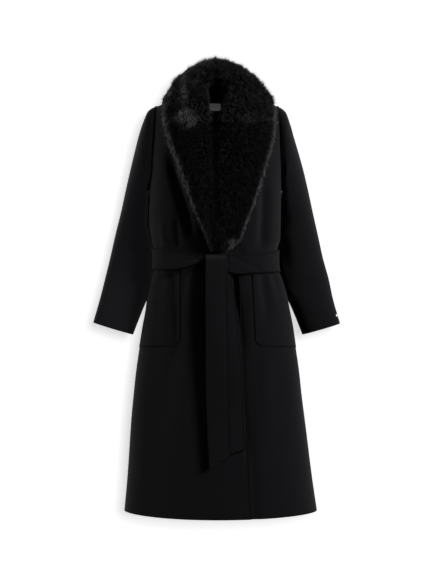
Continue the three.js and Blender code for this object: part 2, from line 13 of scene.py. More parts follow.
import bmesh
import bpy
import numpy as np
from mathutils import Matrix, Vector

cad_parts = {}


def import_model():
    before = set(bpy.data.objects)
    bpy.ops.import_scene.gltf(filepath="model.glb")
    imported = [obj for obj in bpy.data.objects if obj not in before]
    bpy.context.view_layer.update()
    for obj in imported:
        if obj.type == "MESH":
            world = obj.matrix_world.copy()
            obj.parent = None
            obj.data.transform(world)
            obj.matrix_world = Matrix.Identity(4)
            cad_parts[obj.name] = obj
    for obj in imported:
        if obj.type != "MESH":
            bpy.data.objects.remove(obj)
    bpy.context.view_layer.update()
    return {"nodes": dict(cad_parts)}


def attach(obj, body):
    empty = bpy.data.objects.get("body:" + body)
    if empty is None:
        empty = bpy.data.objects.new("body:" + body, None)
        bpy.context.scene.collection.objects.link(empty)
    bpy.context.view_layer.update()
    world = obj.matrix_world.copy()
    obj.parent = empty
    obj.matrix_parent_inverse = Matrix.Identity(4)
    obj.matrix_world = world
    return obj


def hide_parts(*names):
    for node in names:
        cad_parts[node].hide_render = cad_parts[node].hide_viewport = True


Array = np.ndarray
Materials = tuple[bpy.types.Material, ...]

# Metres in a millimetre.
MM = 0.001
# Cloth: its wall, the gap at a seam, how far a rim bulges for each millimetre of thickness,
# and how far in from a cut edge the faces take the darker wool, a painted shade line.
WALL = 3.0
SEAM = 0.3
RIM = 0.06
SHADE_BORDER = 3.6
# Levels of the coat, and how much lower its hem hangs at the middle.
HEM = -1138.0
HEM_DROP = 10.0
UNDERARM = -249.0
CHEST = -200.0
# Where the shoulder ridge runs, and half the width of the neck on it.
RIDGE_Y = 8.0
NECK_HALF = 70.0
# The photograph's eye: its level, and its distance from the plane y = 0. Then how many rows
# the photograph has, and how much one of them shows.
VIEW_HEIGHT = -522.0
VIEW_FAR = 3500.0
PHOTO_ROWS = 579
ROW_SHOWS = 2.8

log = logging.getLogger("coat")


class Side(Enum):
    """The wearer's right or left, with the sign of its x."""

    RIGHT = -1
    LEFT = 1

    @property
    def word(self) -> str:
        """The side as it stands in names."""
        return self.name.lower()


class Face(Enum):
    """The front or the back of the coat, with the sign of its y."""

    FRONT = -1
    BACK = 1


def mix(a: Array | float, b: Array | float, t: Array | float) -> Array | float:
    """The value a share t of the way from a to b."""
    return a + (b - a) * t


def ease(t: Array | float) -> Array:
    """Smooth step from 0 to 1, as 3t^2 - 2t^3 with t held between 0 and 1."""
    held = np.clip(t, 0.0, 1.0)
    return held * held * (3 - 2 * held)


def signed_power(value: Array, power: Array | float) -> Array:
    """The size of a value raised to a power, with the value's sign."""
    return np.sign(value) * np.abs(value) ** power


def seen_height(y: Array, z: Array) -> Array:
    """Height at which a point is seen from the front, in the plane y = 0."""
    return z - (z - VIEW_HEIGHT) * y / VIEW_FAR


def unit(vectors: Array) -> Array:
    """The same directions at length one."""
    return vectors / np.maximum(np.linalg.norm(vectors, axis=-1, keepdims=True), 1e-9)


class Table:
    """Columns of sizes against a key, read as smooth cubics.

    Between two rows a value follows the cubic that leaves each row with the slope of the
    straight line between that row's two neighbours.
    """

    def __init__(self, names: str, rows: list[tuple[float, ...]]) -> None:
        """Keeps the rows in the order of their first column.

        Args:
            names: names of the columns, apart by spaces; the first is the key.
            rows: one tuple of numbers for each row.
        """
        data = np.array(sorted(rows), float)
        ahead = np.vstack([data[1:], data[-1:]])
        behind = np.vstack([data[:1], data[:-1]])
        self.names = names.split()
        self.rows = data
        self.slopes = (ahead - behind) / (ahead[:, :1] - behind[:, :1])

    def __call__(self, at: Array | float) -> dict[str, Array]:
        """Every column at the given keys.

        Args:
            at: keys, held between the first and last row.

        Returns:
            One array for each column, with the shape of the keys.
        """
        keys = self.rows[:, 0]
        spot = np.clip(np.asarray(at, float), keys[0], keys[-1])
        i = np.clip(np.searchsorted(keys, spot) - 1, 0, len(keys) - 2)
        span = (keys[i + 1] - keys[i])[..., None]
        t = (spot - keys[i])[..., None] / span
        a, b = self.rows[i], self.rows[i + 1]
        bend = t * (1 - t) * span * ((1 - t) * self.slopes[i] - t * self.slopes[i + 1])
        found = a + (b - a) * (3 * t * t - 2 * t**3) + bend
        return {name: found[..., k] for k, name in enumerate(self.names)}


@dataclass(frozen=True)
class Crease:
    """A soft trough along a path, or a ridge where its depth is below 0.

    Its depth falls off across the path as exp(-(distance / width)^2), and eases in and out
    over the given shares of the path.
    """

    path: tuple[tuple[float, float], ...]
    width: float
    depth: float
    starts: float = 0.4
    ends: float = 0.5

    def at(self, places: Array) -> Array:
        """Depth at places given as two numbers each, in the path's own terms.

        Args:
            places: array whose last axis has the two coordinates.

        Returns:
            The depth at each place.
        """
        marks = np.array([(k, *spot) for k, spot in enumerate(self.path)], float)
        line = Table("mark a b", [tuple(row) for row in marks])
        found = line(np.linspace(0, len(self.path) - 1, 15))
        nodes = np.stack([found["a"], found["b"]], axis=-1)
        start, way = nodes[:-1], np.diff(nodes, axis=0)
        offset = places[..., None, :] - start
        t = np.clip((offset * way).sum(-1) / (way * way).sum(-1), 0, 1)
        gap = np.linalg.norm(offset - t[..., None] * way, axis=-1)
        nearest = gap.argmin(-1)[..., None]
        reach = np.take_along_axis(gap, nearest, -1)[..., 0]
        along = (nearest + np.take_along_axis(t, nearest, -1))[..., 0] / len(way)
        window = ease(along / self.starts) * ease((1 - along) / self.ends)
        return self.depth * np.exp(-((reach / self.width) ** 2)) * window


def relief(creases: tuple[Crease, ...], places: Array) -> Array:
    """Sum of the depths of all the creases at each place.

    Args:
        creases: the troughs and ridges.
        places: array whose last axis has the two coordinates.

    Returns:
        The depth at each place.
    """
    total = np.zeros(places.shape[:-1])
    for crease in creases:
        total += crease.at(places)
    return total


def grid_normals(points: Array, closed: bool, sign: float) -> Array:
    """Unit normals of a grid of points, as the cross product of its two directions.

    Args:
        points: rows by columns by 3.
        closed: whether the last column joins the first.
        sign: 1 or -1, to turn them outwards.

    Returns:
        Normals in the shape of the points.
    """
    if closed:
        along = np.roll(points, -1, axis=1) - np.roll(points, 1, axis=1)
    else:
        along = np.gradient(points, axis=1)
    return unit(sign * np.cross(along, np.gradient(points, axis=0)))


@dataclass
class Panel:
    """A grid of outer points of cloth with their normals and edge distances."""

    points: Array
    normals: Array
    closed: bool = False
    edge: Array | None = None


def spans(points: Array, axis: int) -> Array:
    """Distance run along one axis of a grid, from its start.

    Args:
        points: rows by columns by 3.
        axis: 0 down the columns or 1 along the rows.

    Returns:
        The distance at each point.
    """
    steps = np.linalg.norm(np.diff(points, axis=axis), axis=-1)
    start = np.zeros_like(steps.take([0], axis=axis))
    return np.cumsum(np.concatenate([start, steps], axis=axis), axis=axis)


def make_object(
    name: str,
    points: Array,
    faces: list[Array],
    values: dict[str, Array] | None = None,
    smooth_angle: float | None = 55.0,
) -> bpy.types.Object:
    """A mesh object at the origin from points in millimetres.

    Args:
        name: name of the piece.
        points: vertices by 3.
        faces: arrays of faces, one array for each number of corners.
        values: numbers for each vertex, by attribute name.
        smooth_angle: edges sharper than this many degrees stay sharp; None for all smooth.

    Returns:
        The new object, linked to the scene.
    """
    mesh = bpy.data.meshes.new(name)
    corners = np.concatenate([f.ravel() for f in faces])
    sizes = np.concatenate([np.full(len(f), f.shape[1]) for f in faces])
    starts = np.concatenate([[0], np.cumsum(sizes)[:-1]])
    mesh.vertices.add(len(points))
    mesh.vertices.foreach_set("co", (points * MM).astype(np.float32).ravel())
    mesh.loops.add(len(corners))
    mesh.loops.foreach_set("vertex_index", corners.astype(np.int32))
    mesh.polygons.add(len(sizes))
    mesh.polygons.foreach_set("loop_start", starts.astype(np.int32))
    mesh.polygons.foreach_set("use_smooth", np.ones(len(sizes), bool))
    mesh.update(calc_edges=True)
    mesh.validate()
    for key, numbers in (values or {}).items():
        attribute = mesh.attributes.new(key, "FLOAT", "POINT")
        attribute.data.foreach_set("value", numbers.astype(np.float32).ravel())
    if smooth_angle is not None:
        mesh.set_sharp_from_angle(angle=math.radians(smooth_angle))
    made = bpy.data.objects.new(name, mesh)
    bpy.context.scene.collection.objects.link(made)
    return made


def strip(first: Array, second: Array) -> Array:
    """Quads between two rows of vertex numbers of the same length."""
    return np.stack([first[:-1], first[1:], second[1:], second[:-1]], axis=-1).reshape(-1, 4)


def quads(numbers: Array) -> Array:
    """Quads of a grid of vertex numbers."""
    return np.concatenate([strip(a, b) for a, b in zip(numbers[:-1], numbers[1:])])


def cloth_shell(name: str, panel: Panel, thick: float, sign: float = 1.0) -> bpy.types.Object:
    """Closed cloth: the outer grid, an inner grid one thickness inside it, and round rims.

    A rim is one more row half way through the cloth, pushed out a little. The rims and
    the narrow border beside them take the second material, a darker, less shiny wool that
    paints a shade line along every edge.

    Args:
        name: name of the piece.
        panel: outer points, normals and edge distances.
        thick: thickness of the cloth.
        sign: 1 where columns, rows and normal are right-handed, else -1.

    Returns:
        The new object.
    """
    points, normals = panel.points, panel.normals
    rows, columns = points.shape[:2]
    inner = points - thick * normals
    middle = (points + inner) / 2
    edge = panel.edge if panel.edge is not None else np.full((rows, columns), 99.0)
    vertices, marks = [points.reshape(-1, 3), inner.reshape(-1, 3)], [edge.ravel(), edge.ravel()]
    outer_ids = np.arange(rows * columns).reshape(rows, columns)
    inner_ids = outer_ids + rows * columns
    if panel.closed:
        outer_ids = np.concatenate([outer_ids, outer_ids[:, :1]], axis=1)
        inner_ids = np.concatenate([inner_ids, inner_ids[:, :1]], axis=1)
    faces = [quads(outer_ids), quads(inner_ids)[:, ::-1]]
    first = 2 * rows * columns
    count = first

    def new_row(line: Array, inside: Array) -> Array:
        """Adds the middle row of a rim beside a border line, and gives its numbers."""
        nonlocal count
        vertices.append(line + unit(line - inside) * thick * RIM)
        marks.append(np.zeros(len(line)))
        count += len(line)
        return np.arange(count - len(line), count)

    def join(outer: Array, ids: Array, inner: Array, turn: int) -> None:
        """Joins a rim's middle row to the cloth's outer and inner border."""
        faces.append(np.concatenate([strip(outer, ids), strip(ids, inner)])[:, ::turn])

    for border, inside, turn in ((0, 1, -1), (-1, -2, 1)):
        ids = new_row(middle[border], middle[inside])
        ids = np.append(ids, ids[0]) if panel.closed else ids
        join(outer_ids[border], ids, inner_ids[border], turn)
    if not panel.closed:
        for border, inside, turn, corner in ((0, 1, 1, first), (-1, -2, -1, first + columns - 1)):
            ids = new_row(middle[:, border], middle[:, inside])
            ids[0], ids[-1] = corner, corner + columns
            join(outer_ids[:, border], ids, inner_ids[:, border], turn)
    every = np.concatenate(faces)
    if sign < 0:
        every = every[:, ::-1]
    distance = np.concatenate(marks)
    made = make_object(name, np.concatenate(vertices), [every], {"edge": distance})
    # Faces near an edge, and the rims, get the darker wool: a painted shade line along the edge.
    edge_shaded = distance[every].max(axis=1) < SHADE_BORDER
    made.data.polygons.foreach_set("material_index", edge_shaded.astype(np.int32))
    drop_loose(made)
    return made


def drop_loose(piece: bpy.types.Object) -> None:
    """Takes out vertices that no face uses, keeping the attributes of the rest.

    Args:
        piece: the mesh object.
    """
    mesh = bmesh.new()
    mesh.from_mesh(piece.data)
    loose = [v for v in mesh.verts if not v.link_faces]
    bmesh.ops.delete(mesh, geom=loose, context="VERTS")
    mesh.to_mesh(piece.data)
    mesh.free()


BODY_RINGS = Table(
    "level right left front back square backSquare",
    [
        (-1138, 259, 279.5, 112, 116, 2.3, 2.1),
        (-1050, 251, 266.5, 109, 113, 2.35, 2.1),
        (-972, 245.5, 256.5, 107, 110, 2.4, 2.1),
        (-888, 240, 246, 105, 108, 2.45, 2.1),
        (-818, 233.5, 237, 103, 106, 2.5, 2.1),
        (-748, 226, 229.5, 101, 104, 2.5, 2.1),
        (-683, 216.5, 220, 99, 102, 2.5, 2.1),
        (-622, 206.5, 211, 97, 99, 2.5, 2.1),
        (-585, 199.5, 203.5, 95, 96, 2.5, 2.1),
        (-540, 193, 194.5, 92, 91, 2.5, 2.1),
        (-490, 181, 180, 88, 84, 2.5, 2.1),
        (-468, 176, 169.5, 86, 81, 2.5, 2.1),
        (-412, 175.5, 168, 86, 79, 2.5, 2.1),
        (-384, 183, 176, 90, 81, 2.5, 2.1),
        (-342, 190, 178, 95, 84, 2.5, 2.1),
        (-258, 190, 179.5, 100, 89, 2.5, 2.1),
        (-216, 188, 181.5, 100, 91, 2.5, 2.1),
        (-200, 187, 182, 99, 91, 2.5, 2.1),
    ],
)

FRONT_EDGE = Table(
    "level x",
    [
        (-1138, 93),
        (-990, 86),
        (-820, 79),
        (-640, 67),
        (-480, 60),
        (-420, 52),
        (-330, 4),
        (-200, -36),
        (-100, -56),
        (0, -70),
    ],
)


@dataclass(frozen=True)
class CoatForm:
    """The coat's outer face with no folds.

    Below the chest a point at angle theta of a level's ring is (reach cos^p, depth sin^p) with
    p = 2 / square. Above it the ring narrows to a ridge that falls from the neck to the
    shoulder points. Seams and armholes are given as angles in radians.
    """

    shoulder_reach: float = 177.0
    shoulder_top: float = 38.0
    shoulder_slope: float = 0.44
    side_seam: float = 0.12
    seam_angle: float = 0.0011
    armhole_front: float = 0.32
    armhole_back: float = 0.37
    armhole_widest: float = -130.0

    def ring(self, level: Array) -> dict[str, Array]:
        """Sizes of the ring at each level, and how far it has risen over the shoulder.

        Args:
            level: levels down the coat.

        Returns:
            The columns of BODY_RINGS, and "rise" from 0 at the chest to a quarter turn.
        """
        ring = BODY_RINGS(np.minimum(level, CHEST))
        ring["rise"] = np.clip((level - CHEST) / -CHEST, 0, 1) * np.pi / 2
        narrowing = 1 - np.cos(ring["rise"])
        for reach in ("left", "right"):
            ring[reach] = mix(ring[reach], self.shoulder_reach, narrowing)
        return ring

    def shoulder_height(self, x: Array) -> Array:
        """Height of the ridge: level at the neck, then a steady slope with a soft bend."""
        past = np.abs(x) - 62
        return self.shoulder_top - self.shoulder_slope * (past + np.hypot(past, 15)) / 2

    def skin(self, theta: Array, level: Array) -> Array:
        """Points of the outer face.

        Args:
            theta: angles round the rings, 0 at the wearer's left.
            level: levels down the coat.

        Returns:
            The points.
        """
        theta, level = np.broadcast_arrays(np.asarray(theta, float), np.asarray(level, float))
        ring = self.ring(level)
        square = np.where(np.sin(theta) > 0, ring["backSquare"], ring["square"])
        across = signed_power(np.cos(theta), 2 / square)
        through = signed_power(np.sin(theta), 2 / square)
        x = across * np.where(across > 0, ring["left"], ring["right"])
        depth = through * np.where(through > 0, ring["back"], ring["front"])
        y = mix(RIDGE_Y, depth, np.cos(ring["rise"]))
        high = mix(CHEST, self.shoulder_height(x), np.sin(ring["rise"]))
        low = level - HEM_DROP * (1 - across**2) * ease((-900 - level) / 200)
        return np.stack([x, y, np.where(level <= CHEST, low, high)], axis=-1)

    def normal(self, theta: Array, level: Array) -> Array:
        """Outward unit normals of the face.

        Args:
            theta: angles round the rings, 0 at the wearer's left.
            level: levels down the coat.

        Returns:
            The normals.
        """
        low = np.minimum(level, -1.5)
        along = self.skin(theta + 0.004, low) - self.skin(theta - 0.004, low)
        up = self.skin(theta, low + 1) - self.skin(theta, low - 1)
        return unit(np.cross(along, up))

    def front_angle(self, x: Array, level: Array) -> Array:
        """Angle on the front half of the ring where it has the given x.

        Args:
            x: distance to the wearer's left.
            level: levels down the coat.

        Returns:
            The angles.
        """
        ring = self.ring(np.asarray(level, float))
        share = np.clip(np.abs(x) / np.where(x > 0, ring["left"], ring["right"]), 0, 1)
        turn = np.arccos(share ** (ring["square"] / 2))
        return np.where(x > 0, -turn, turn - np.pi)

    def side_edge(self, side: Side, face: Face, level: Array) -> Array:
        """Angle of a panel's side seam, and above the underarm of its armhole.

        The armhole is a half ellipse from the underarm to its widest level.

        Args:
            side: side of the coat.
            face: the front or the back panel.
            level: levels down the coat.

        Returns:
            The angles.
        """
        drop = (self.armhole_widest - level) / (self.armhole_widest - UNDERARM)
        opening = np.sqrt(1 - np.clip(drop, 0, 1) ** 2)
        opening = np.where(level <= UNDERARM, 0.0, opening)
        reach = -self.armhole_front if face is Face.FRONT else self.armhole_back
        turn = mix(self.side_seam + face.value * self.seam_angle, reach, opening)
        if side is Side.LEFT:
            return turn
        return -np.pi - turn if face is Face.FRONT else np.pi - turn


def body_levels(low: int, high: int) -> Array:
    """Levels from the hem to the ridge, close together at the underarm.

    Args:
        low: number of rows up to the underarm.
        high: number of rows above it.

    Returns:
        The levels, from the hem up.
    """
    below = np.linspace(HEM, UNDERARM, low)[:-1]
    share = np.linspace(0, 1, high)
    above = UNDERARM * (1 - share ** 1.6)
    return np.concatenate([below, above])


@dataclass
class Bodice:
    """The back and the two lapped fronts.

    Columns and rows count the points of a panel's grid. A trough's path is given by x and
    level, and shows as a fold or as a soft valley that the waist draws in.
    """

    form: CoatForm
    front_columns: int = 96
    back_columns: int = 112
    low_rows: int = 150
    high_rows: int = 52
    back_neck_drop: float = 36.0
    front_creases: tuple[Crease, ...] = (
        Crease(((-124, -466), (-118, -600), (-122, -740), (-146, -960)), 22, 12, 0.05, 0.7),
        Crease(((-86, -474), (-90, -520), (-94, -600)), 9, 3.5, 0.1, 0.7),
        Crease(((-152, -476), (-160, -540), (-166, -620)), 10, 3, 0.1, 0.8),
        Crease(((-112, -310), (-110, -360), (-107, -420)), 9, 4, 0.5, 0.2),
        Crease(((-150, -300), (-150, -360), (-140, -425)), 9, -3, 0.5, 0.3),
        Crease(((131, -170), (130, -290), (125, -420)), 14, 11, 0.5, 0.15),
                        Crease(((46, -470), (53, -560), (64, -700)), 10, 14, 0.04, 0.6),
        Crease(((-137, -120), (-118, -205), (-92, -290), (-66, -395)), 13, 10, 0.3, 0.2),
        Crease(((124, -474), (134, -560), (142, -640)), 13, 7, 0.1, 0.7),
        Crease(((152, -476), (166, -520), (178, -580)), 9, 3.5, 0.1, 0.8),
        Crease(((90, -476), (91, -520), (92, -570)), 7, 2.6, 0.1, 0.8),
        Crease(((64, -500), (68, -680), (77, -860), (84, -1010)), 9, 6, 0.35, 0.2),
        Crease(((103, -620), (106, -760), (110, -1040)), 19, 5, 0.5, 0.6),
        Crease(((-150, -700), (-160, -860), (-168, -1040)), 30, 4, 0.5, 0.6),
        Crease(((160, -640), (172, -800), (186, -1000)), 30, 4, 0.5, 0.6),
        Crease(((-60, -560), (-62, -800), (-66, -1080)), 34, 3, 0.5, 0.5),
    )
    back_creases: tuple[Crease, ...] = (
        Crease(((-92, -470), (-100, -640), (-112, -900)), 23, 12, 0.08, 0.7),
        Crease(((22, -470), (28, -600), (34, -760)), 19, 8, 0.08, 0.7),
        Crease(((112, -470), (120, -680), (132, -950)), 23, 12, 0.08, 0.7),
        Crease(((-70, -235), (-66, -330), (-60, -425)), 20, 8, 0.5, 0.25),
        Crease(((68, -260), (62, -340), (56, -425)), 20, 8, 0.5, 0.25),
        Crease(((-46, -474), (-48, -530), (-54, -610)), 10, 4, 0.1, 0.7),
        Crease(((70, -474), (74, -520), (76, -580)), 9, 3.5, 0.1, 0.7),
        Crease(((-150, -476), (-158, -560), (-164, -680)), 14, 5, 0.1, 0.7),
        Crease(((8, -330), (4, -380), (2, -425)), 11, 4, 0.5, 0.25),
        Crease(((-20, -700), (-26, -860), (-30, -1060)), 32, 4, 0.5, 0.5),
        Crease(((-118, -150), (-90, -210), (-80, -280)), 16, 4, 0.5, 0.5),
        Crease(((116, -140), (92, -210), (78, -290)), 16, 4, 0.5, 0.5),
    )

    def draped(self, theta: Array, level: Array, face: Face) -> Array:
        """Points of the outer face with the troughs of one side of the coat.

        Args:
            theta: angles round the rings.
            level: levels down the coat.
            face: whose troughs are used.

        Returns:
            The points.
        """
        points = self.form.skin(theta, level)
        creases = self.front_creases if face is Face.FRONT else self.back_creases
        depth = relief(creases, points[..., [0, 2]])
        return points - self.form.normal(theta, level) * depth[..., None]

    def front_theta(self, side: Side, u: Array, level: Array) -> Array:
        """Angle a share of the way from the side seam to the front edge.

        Args:
            side: which front.
            u: the share.
            level: levels down the coat.

        Returns:
            The angles.
        """
        x = FRONT_EDGE(level)["x"] * -side.value
        start = self.form.side_edge(side, Face.FRONT, level)
        return mix(start, self.form.front_angle(x, level), u)

    def front_point(self, side: Side, theta: Array, level: Array) -> Array:
        """Points of a front, the left one tucked in where the right one covers it.

        Args:
            side: which front.
            theta: angles round the rings.
            level: levels down the coat.

        Returns:
            The points.
        """
        points = self.draped(theta, level, Face.FRONT)
        if side is Side.RIGHT:
            return points
        edge = FRONT_EDGE(np.minimum(points[..., 2], 0))["x"]
        inside = ease((edge + 30 - points[..., 0]) / 22) * (WALL + 4 * SEAM)
        return points - self.form.normal(theta, level) * inside[..., None]

    def front(self, side: Side) -> Panel:
        """Grid of a front, from its side seam and armhole to its edge and neckline.

        Its columns lie closer together towards the front edge.

        Args:
            side: which front.

        Returns:
            The front's grid.
        """
        level = body_levels(self.low_rows, self.high_rows)[:, None]
        u = 1 - np.linspace(1, 0, self.front_columns)[None, :] ** 1.3
        theta = self.front_theta(side, u, level)
        points = self.front_point(side, theta, np.broadcast_to(level, theta.shape))
        points[-1, :, 1] -= SEAM / 2
        normals = grid_normals(points, False, -side.value)
        normals[-1] = unit(normals[-1] * (1, 0, 1))
        across = spans(points, 1)
        edge = np.minimum(across[:, -1:] - across, spans(points, 0))
        return Panel(points, normals, edge=edge)

    def back(self) -> Panel:
        """Grid of the back, whose top row dips round the neck.

        Returns:
            The back's grid.
        """
        level = body_levels(self.low_rows, self.high_rows)[:, None]
        u = np.linspace(0, 1, self.back_columns)[None, :]
        start = self.form.side_edge(Side.LEFT, Face.BACK, level)
        end = self.form.side_edge(Side.RIGHT, Face.BACK, level)
        theta = mix(start, end, u)
        ridge_x = self.form.skin(theta[-1], np.zeros(self.back_columns))[:, 0]
        dip = self.back_neck_drop * (1 - np.clip(np.abs(ridge_x) / NECK_HALF, 0, 1) ** 2.5)
        rise = np.clip((level - CHEST) / -CHEST, 0, 1)
        lowered = np.where(level > CHEST, CHEST + (-CHEST - dip) * rise, level)
        points = self.draped(theta, lowered, Face.BACK)
        points[-1, :, 1] += SEAM / 2
        normals = grid_normals(points, False, 1)
        normals[-1] = unit(normals[-1] * (1, 0, 1))
        return Panel(points, normals, edge=spans(points, 0))

    def build(self, wool: Materials) -> list[bpy.types.Object]:
        """Makes the back and both fronts.

        Args:
            wool: materials of the cloth and of the painted shade along its edges.

        Returns:
            The three pieces.
        """
        right = cloth_shell("front_right_cloth", self.front(Side.RIGHT), WALL)
        left = cloth_shell("front_left_cloth", self.front(Side.LEFT), WALL, -1)
        back = cloth_shell("back_cloth", self.back(), WALL)
        for piece, node, flat, area in (
            (right, "front_right", (0.43, 1.17), 0.355),
            (left, "front_left", (0.43, 1.17), 0.355),
            (back, "back", (0.62, 1.16), 0.55),
        ):
            dress(piece, wool, "wool", node)
        return [right, left, back]


def dress(piece: bpy.types.Object, materials: Materials, slot: str, *nodes: str) -> None:
    """Gives a piece its materials and its body, and hides the solids that it stands for.

    Args:
        piece: the mesh object.
        materials: its materials, in the order of their slots.
        slot: kind of finish; not used.
        nodes: names of the solids.
    """
    for material in materials:
        piece.data.materials.append(material)
    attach(piece, "root")
    if nodes:
        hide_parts(*nodes)


SLEEVE_RINGS = Table(
    "row rox roz rix riz lox loz lix liz deep back",
    [
        (0, -170, -6, -190, -243, 170, -6, 183, -243, 40, 2),
        (1, -192, -21, -194, -243, 191, -23, 185.5, -243, 46, 4),
        (2, -208, -56, -192, -250, 205, -58, 184, -250, 51, 8),
        (3, -220, -92, -190, -257, 216, -95, 180, -257, 54, 12),
        (4, -231, -134, -187, -265, 228, -134, 177, -265, 56, 17),
        (5, -244, -186, -184, -277, 243, -186, 173, -277, 56, 22),
        (6, -258.5, -248, -182, -300, 258, -248, 170, -300, 54, 27),
        (7, -272, -308, -179, -342, 272, -311, 168, -342, 51, 31),
        (8, -286.5, -365, -176, -392, 285.5, -370, 168, -392, 47, 33),
        (9, -300, -425, -174, -450, 299, -432, 167, -450, 43, 32),
        (10, -314, -485, -181, -512, 315, -492, 180, -512, 40, 26),
        (11, -329, -548, -209, -580, 327, -552, 212, -580, 37, 15),
        (12, -347, -614, -235, -648, 345, -617, 239, -648, 34, 5),
    ],
)

SLEEVE_ROOM = Table(
    "level room",
    [
        (-700, 5),
        (-560, 5),
        (-520, 3),
        (-484, 3.6),
        (-470, 9.5),
        (-410, 9.5),
        (-396, 7),
        (-370, 1.6),
        (-200, 1.2),
    ],
)


@dataclass
class Sleeves:
    """The two sleeves, from their armholes to their open cuffs.

    A ring is an ellipse of power square between its inner and outer point. The first rows
    blend into the edge of the armhole.
    """

    form: CoatForm
    bodice: Bodice
    square: float = 2.15
    turns: int = 88
    rows: int = 120
    creases: dict[Side, tuple[Crease, ...]] = field(
        default_factory=lambda: {
            Side.RIGHT: (
                Crease(((0.2, 6.6), (0.7, 7.0), (1.3, 7.5)), 0.36, 5, 0.3, 0.7),
                Crease(((0.3, 8.5), (0.8, 8.3), (1.3, 8.0)), 0.3, 4, 0.3, 0.7),
                Crease(((0.3, 9.4), (0.8, 9.7), (1.2, 10.0)), 0.28, 3, 0.3, 0.7),
                Crease(((3.6, 7.3), (3.2, 7.7), (2.7, 8.0)), 0.36, 5, 0.4, 0.6),
            ),
            Side.LEFT: (
                Crease(((0.35, 7.6), (0.5, 8.3), (0.6, 9.2), (0.65, 10.2)), 0.24, 5, 0.4, 0.5),
                Crease(((0.2, 6.4), (0.6, 7.0), (1.1, 7.4)), 0.34, 4, 0.3, 0.7),
                Crease(((0.4, 10.3), (0.9, 10.1), (1.3, 9.8)), 0.26, 2.6, 0.3, 0.7),
                Crease(((3.6, 7.3), (3.2, 7.7), (2.7, 8.0)), 0.36, 5, 0.4, 0.6),
            ),
        }
    )

    def armhole(self, side: Side, turn: Array) -> Array:
        """Points of the armhole's edge.

        Args:
            side: which sleeve.
            turn: 0 at the underarm, 1 on the front, 2 at the shoulder and 3 on the back.

        Returns:
            The points, a little outside the body's own edge.
        """
        front = turn <= 2
        share = np.where(front, turn, 4 - turn) / 2
        marks = np.array([UNDERARM, -244, -228, -200, -172, -142, -112, -82, -50, -22, 0])
        level = np.interp(share * (len(marks) - 1), np.arange(len(marks)), marks)
        found = []
        for face in Face:
            theta = self.form.side_edge(side, face, level)
            found.append(self.bodice.draped(theta, level, face))
        points = np.where(front[..., None], found[0], found[1])
        points[..., 0] += side.value * 4 * SEAM
        points[..., 2] += 6 * SEAM * np.cos(turn * np.pi / 4) ** 6
        return points

    def surface(self, side: Side, turn: Array, row: Array) -> Array:
        """Points of a sleeve with no folds.

        Args:
            side: which sleeve.
            turn: 0 on its inner line, 1 on the front, 2 on the outer line and 3 on the back.
            row: place along the sleeve, 0 at the armhole and 12 at the cuff.

        Returns:
            The points.
        """
        turn, row = np.broadcast_arrays(turn, row)
        ring = SLEEVE_RINGS(row)
        letter = side.word[0]
        out = -signed_power(np.cos(turn * np.pi / 2), 2 / self.square)
        front = signed_power(np.sin(turn * np.pi / 2), 2 / self.square)
        share = (1 + out) / 2
        points = np.stack(
            [
                mix(ring[letter + "ix"], ring[letter + "ox"], share),
                ring["back"] - front * ring["deep"],
                mix(ring[letter + "iz"], ring[letter + "oz"], share),
            ],
            axis=-1,
        )
        points = self.kept_beside(side, points)
        joined = (1 - ease(row / 1.2))[..., None]
        return mix(points, self.armhole(side, turn % 4), joined)

    def kept_beside(self, side: Side, points: Array) -> Array:
        """Moves points out to the side of the body where they would lie inside it.

        The new distance is the soft greater of the point's own and the body's reach plus
        the room left beside it.

        Args:
            side: which sleeve.
            points: points of the sleeve.

        Returns:
            The points, moved.
        """
        x, y, z = np.moveaxis(points, -1, 0)
        ring = self.form.ring(np.minimum(z, CHEST))
        depth = np.where(y > 0, ring["back"], ring["front"])
        square = np.where(y > 0, ring["backSquare"], ring["square"])
        share = np.clip(np.abs(y) / depth, 0, 1)
        reach = ring[side.word] * (1 - share**square) ** (1 / square)
        least = reach + SLEEVE_ROOM(z)["room"]
        out = side.value * x
        pushed = side.value * (out + least + np.hypot(out - least, 3)) / 2
        return np.stack([np.where(z > CHEST, x, pushed), y, z], axis=-1)

    def panel(self, side: Side) -> Panel:
        """Grid of a sleeve with its troughs, close rows at the armhole.

        Args:
            side: which sleeve.

        Returns:
            The sleeve's grid.
        """
        row = 12 * np.linspace(0, 1, self.rows)[:, None] ** 1.15
        turn = 4 * np.arange(self.turns)[None, :] / self.turns
        points = self.surface(side, turn, row)
        normals = grid_normals(points, True, -side.value)
        wrapped = (turn + 0.5) % 4 - 0.5 + 0 * row
        depth = relief(self.creases[side], np.stack([wrapped, row + 0 * turn], axis=-1))
        points = points - normals * depth[..., None]
        normals = grid_normals(points, True, -side.value)
        normals[0] = unit(normals[0] * (0, 1, 1))
        length = spans(points, 0)
        return Panel(points, normals, closed=True, edge=length[-1:] - length)

    def build(self, wool: Materials) -> list[bpy.types.Object]:
        """Makes both sleeves.

        Args:
            wool: materials of the cloth and of the painted shade along its edges.

        Returns:
            The two pieces.
        """
        made = []
        for side in Side:
            node, front = f"sleeve_{side.word}", f"front_{side.word}_cloth"
            piece = cloth_shell(f"{node}_cloth", self.panel(side), WALL, -side.value)
            dress(piece, wool, "wool", node)
            made.append(piece)
        return made


